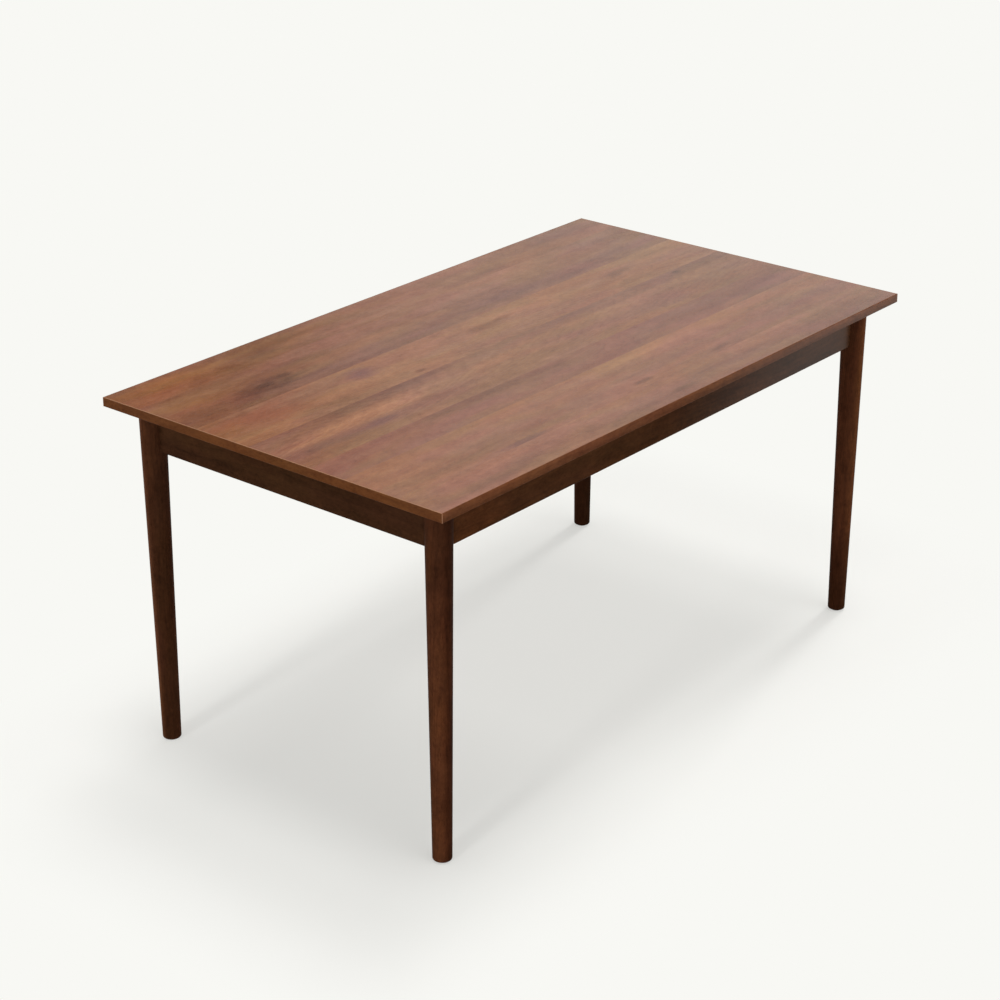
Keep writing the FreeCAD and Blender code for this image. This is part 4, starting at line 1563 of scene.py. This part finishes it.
LEAVES = (
    Leaf((0.380, 0.170, 0.0858), (0.212, 0.076, 0.0337), (
        Mark(-0.64, 0.37, 0.2, 0.07, (1.1, 0.98, 0.8)),
        Mark(-0.405, 0.372, 0.1, 0.024, (0.82, 0.84, 0.92)),
        Mark(-0.33, 0.388, 0.12, 0.016, (0.76, 0.72, 0.64)),
        Mark(-0.45, 0.34, 0.26, 0.03, (0.84, 0.79, 0.77)),
        Mark(-0.15, 0.37, 0.2, 0.06, (1.02, 1.05, 1.06)),
        Mark(0.27, 0.345, 0.13, 0.024, (0.86, 0.84, 0.94)),
        Mark(0.6, 0.4, 0.3, 0.04, (0.98, 1.04, 1.16)),
        Mark(-0.2, 0.425, 0.7, 0.012, (1.05, 1.1, 1.2)),
    )),
    Leaf((0.372, 0.168, 0.0891), (0.213, 0.078, 0.0389), (
        Mark(-0.66, 0.245, 0.16, 0.06, (0.91, 0.8, 0.66)),
        Mark(0.05, 0.198, 0.75, 0.055, (0.85, 0.82, 0.92)),
        Mark(-0.5, 0.232, 0.12, 0.04, (0.66, 0.64, 0.64)),
        Mark(-0.505, 0.236, 0.026, 0.013, (0.66, 0.64, 0.66)),
        Mark(-0.44, 0.246, 0.028, 0.011, (0.68, 0.66, 0.68)),
        Mark(-0.46, 0.27, 0.18, 0.032, (0.81, 0.77, 0.76)),
        Mark(0.22, 0.205, 0.1, 0.032, (0.88, 0.87, 0.92)),
    )),
    Leaf((0.416, 0.189, 0.0933), (0.241, 0.092, 0.0417), (
        Mark(-0.67, 0.12, 0.14, 0.06, (0.99, 0.86, 0.78)),
        Mark(-0.345, 0.134, 0.045, 0.034, (0.72, 0.68, 0.96)),
        Mark(0.02, 0.122, 0.06, 0.018, (0.72, 0.64, 0.56)),
        Mark(0.09, 0.128, 0.03, 0.01, (0.76, 0.68, 0.6)),
        Mark(0.485, 0.124, 0.06, 0.018, (0.76, 0.7, 0.66)),
        Mark(-0.255, 0.055, 0.016, 0.007, (0.7, 0.62, 0.54)),
        Mark(-0.54, 0.115, 0.13, 0.025, (0.9, 0.84, 0.78)),
        Mark(0.1, 0.082, 0.5, 0.018, (1.08, 1.1, 1.08)),
    )),
    Leaf((0.391, 0.177, 0.0897), (0.229, 0.086, 0.0408), (
        Mark(0.0, 0.037, 4.0, 0.044, (0.82, 0.8, 0.86)),
        Mark(-0.56, 0.0, 0.25, 0.06, (1.08, 1.08, 1.05)),
        Mark(-0.48, -0.026, 0.3, 0.024, (1.3, 1.37, 1.42)),
        Mark(-0.6, -0.062, 0.22, 0.02, (0.78, 0.74, 0.82)),
        Mark(-0.5, -0.066, 0.05, 0.014, (0.84, 0.84, 0.98)),
        Mark(0.35, -0.06, 0.38, 0.04, (0.92, 0.89, 0.95)),
        Mark(0.565, 0.025, 0.016, 0.01, (0.66, 0.6, 0.56)),
    )),
    Leaf((0.339, 0.147, 0.0806), (0.206, 0.073, 0.0394), (
        Mark(-0.32, -0.122, 0.33, 0.022, (0.86, 0.84, 0.86)),
        Mark(-0.64, -0.122, 0.28, 0.06, (1.12, 1.09, 1.03)),
        Mark(0.45, -0.15, 0.35, 0.044, (0.88, 0.86, 0.9)),
    )),
    Leaf((0.402, 0.178, 0.0907), (0.243, 0.090, 0.0443), (
        Mark(0.0, -0.212, 4.0, 0.022, (1.06, 1.08, 1.02)),
        Mark(-0.35, -0.29, 0.38, 0.05, (0.87, 0.87, 0.87)),
        Mark(-0.4, -0.335, 0.08, 0.014, (0.68, 0.68, 0.8)),
        Mark(-0.02, -0.318, 0.036, 0.009, (0.68, 0.64, 0.58)),
        Mark(0.24, -0.325, 0.04, 0.008, (0.78, 0.74, 0.7)),
        Mark(0.4, -0.29, 0.5, 0.06, (0.9, 0.87, 0.92)),
    )),
    Leaf((0.382, 0.170, 0.0877), (0.223, 0.081, 0.0393), (
        Mark(-0.55, -0.356, 0.2, 0.02, (1.12, 1.12, 1.08)),
        Mark(0.0, -0.403, 0.04, 0.012, (0.78, 0.74, 0.7)),
        Mark(-0.57, -0.41, 0.15, 0.022, (0.82, 0.8, 0.76)),
        Mark(0.35, -0.405, 0.8, 0.05, (0.84, 0.82, 0.84)),
    )),
)

APRON_MARKS = (
    Mark(-0.6, -0.371, 0.11, 0.04, (1.32, 1.2, 1.1)),
    # Painted shade on the aprons' ends round each leg's middle, for the shadow in the gap where apron
    # meets leg.
    *(
        Mark(x, y, 0.031, 0.031, (0.22, 0.22, 0.22))
        for y in (-LEG_MIDDLE[1], LEG_MIDDLE[1]) for x in (-LEG_MIDDLE[0], LEG_MIDDLE[0])
    ),
)

# Painted light and shade on the legs. A side that a lamp lights is painted paler and the side away from
# it darker. The front-left leg's top is painted darker for the shade under the table top, the
# front-right leg's foot darker on its left, and the back-right leg darker all over, as it stands in
# shade.
LEG_PAINTED_LIGHT = {
    Corner.FRONT_LEFT: (
        Stain(190.0, 0.024, (1.33, 1.33, 1.30)),
        Stain(280.0, 0.018, (0.75, 0.70, 0.68)),
        Stain(220.0, 0.090, (0.70, 0.72, 0.76), 0.68, 0.17),
    ),
    Corner.FRONT_RIGHT: (
        Stain(300.0, 0.026, (1.65, 1.70, 1.45)),
        Stain(190.0, 0.050, (0.42, 0.42, 0.42), 0.0, 0.25),
    ),
    Corner.BACK_RIGHT: (Stain(220.0, 0.090, (0.47, 0.50, 0.52)),),
    Corner.BACK_LEFT: (
        Stain(138.0, 0.018, (1.75, 1.85, 1.85)),
        Stain(230.0, 0.024, (0.72, 0.80, 0.85)),
    ),
}

LAMPS = (
    SoftLight("overhead_lamp", azimuth=-77.0, height=85.2, strength=0.82, spread=16.0),
    SoftLight("high_right_lamp", azimuth=8.0, height=73.0, strength=0.42, spread=14.0),
    SoftLight("low_right_lamp", azimuth=7.0, height=31.0, strength=1.02, spread=11.0,
              passes=("leg_front_left", "leg_back_left")),
    SoftLight("front_lamp", azimuth=-95.0, height=24.0, strength=0.60, spread=60.0),
    SoftLight("left_lamp", azimuth=186.0, height=20.0, strength=1.00, spread=10.0,
              passes=("leg_front_right", "leg_back_right")),
)


def main() -> None:
    """Build the table's looks and its studio, and log each piece that is dressed."""
    logging.basicConfig(level=logging.INFO, format="%(name)s: %(message)s")
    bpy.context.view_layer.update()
    bpy.context.scene.view_settings.view_transform = "Standard"
    View().build()
    Studio(LAMPS).build()
    for assembly in (TableTop(LEAVES), ApronFrame(APRON_MARKS), Legs(LEG_PAINTED_LIGHT), Hardware()):
        for name in assembly.build():
            log.info("dressed %s", name)


if __name__ == "__main__":
    main()
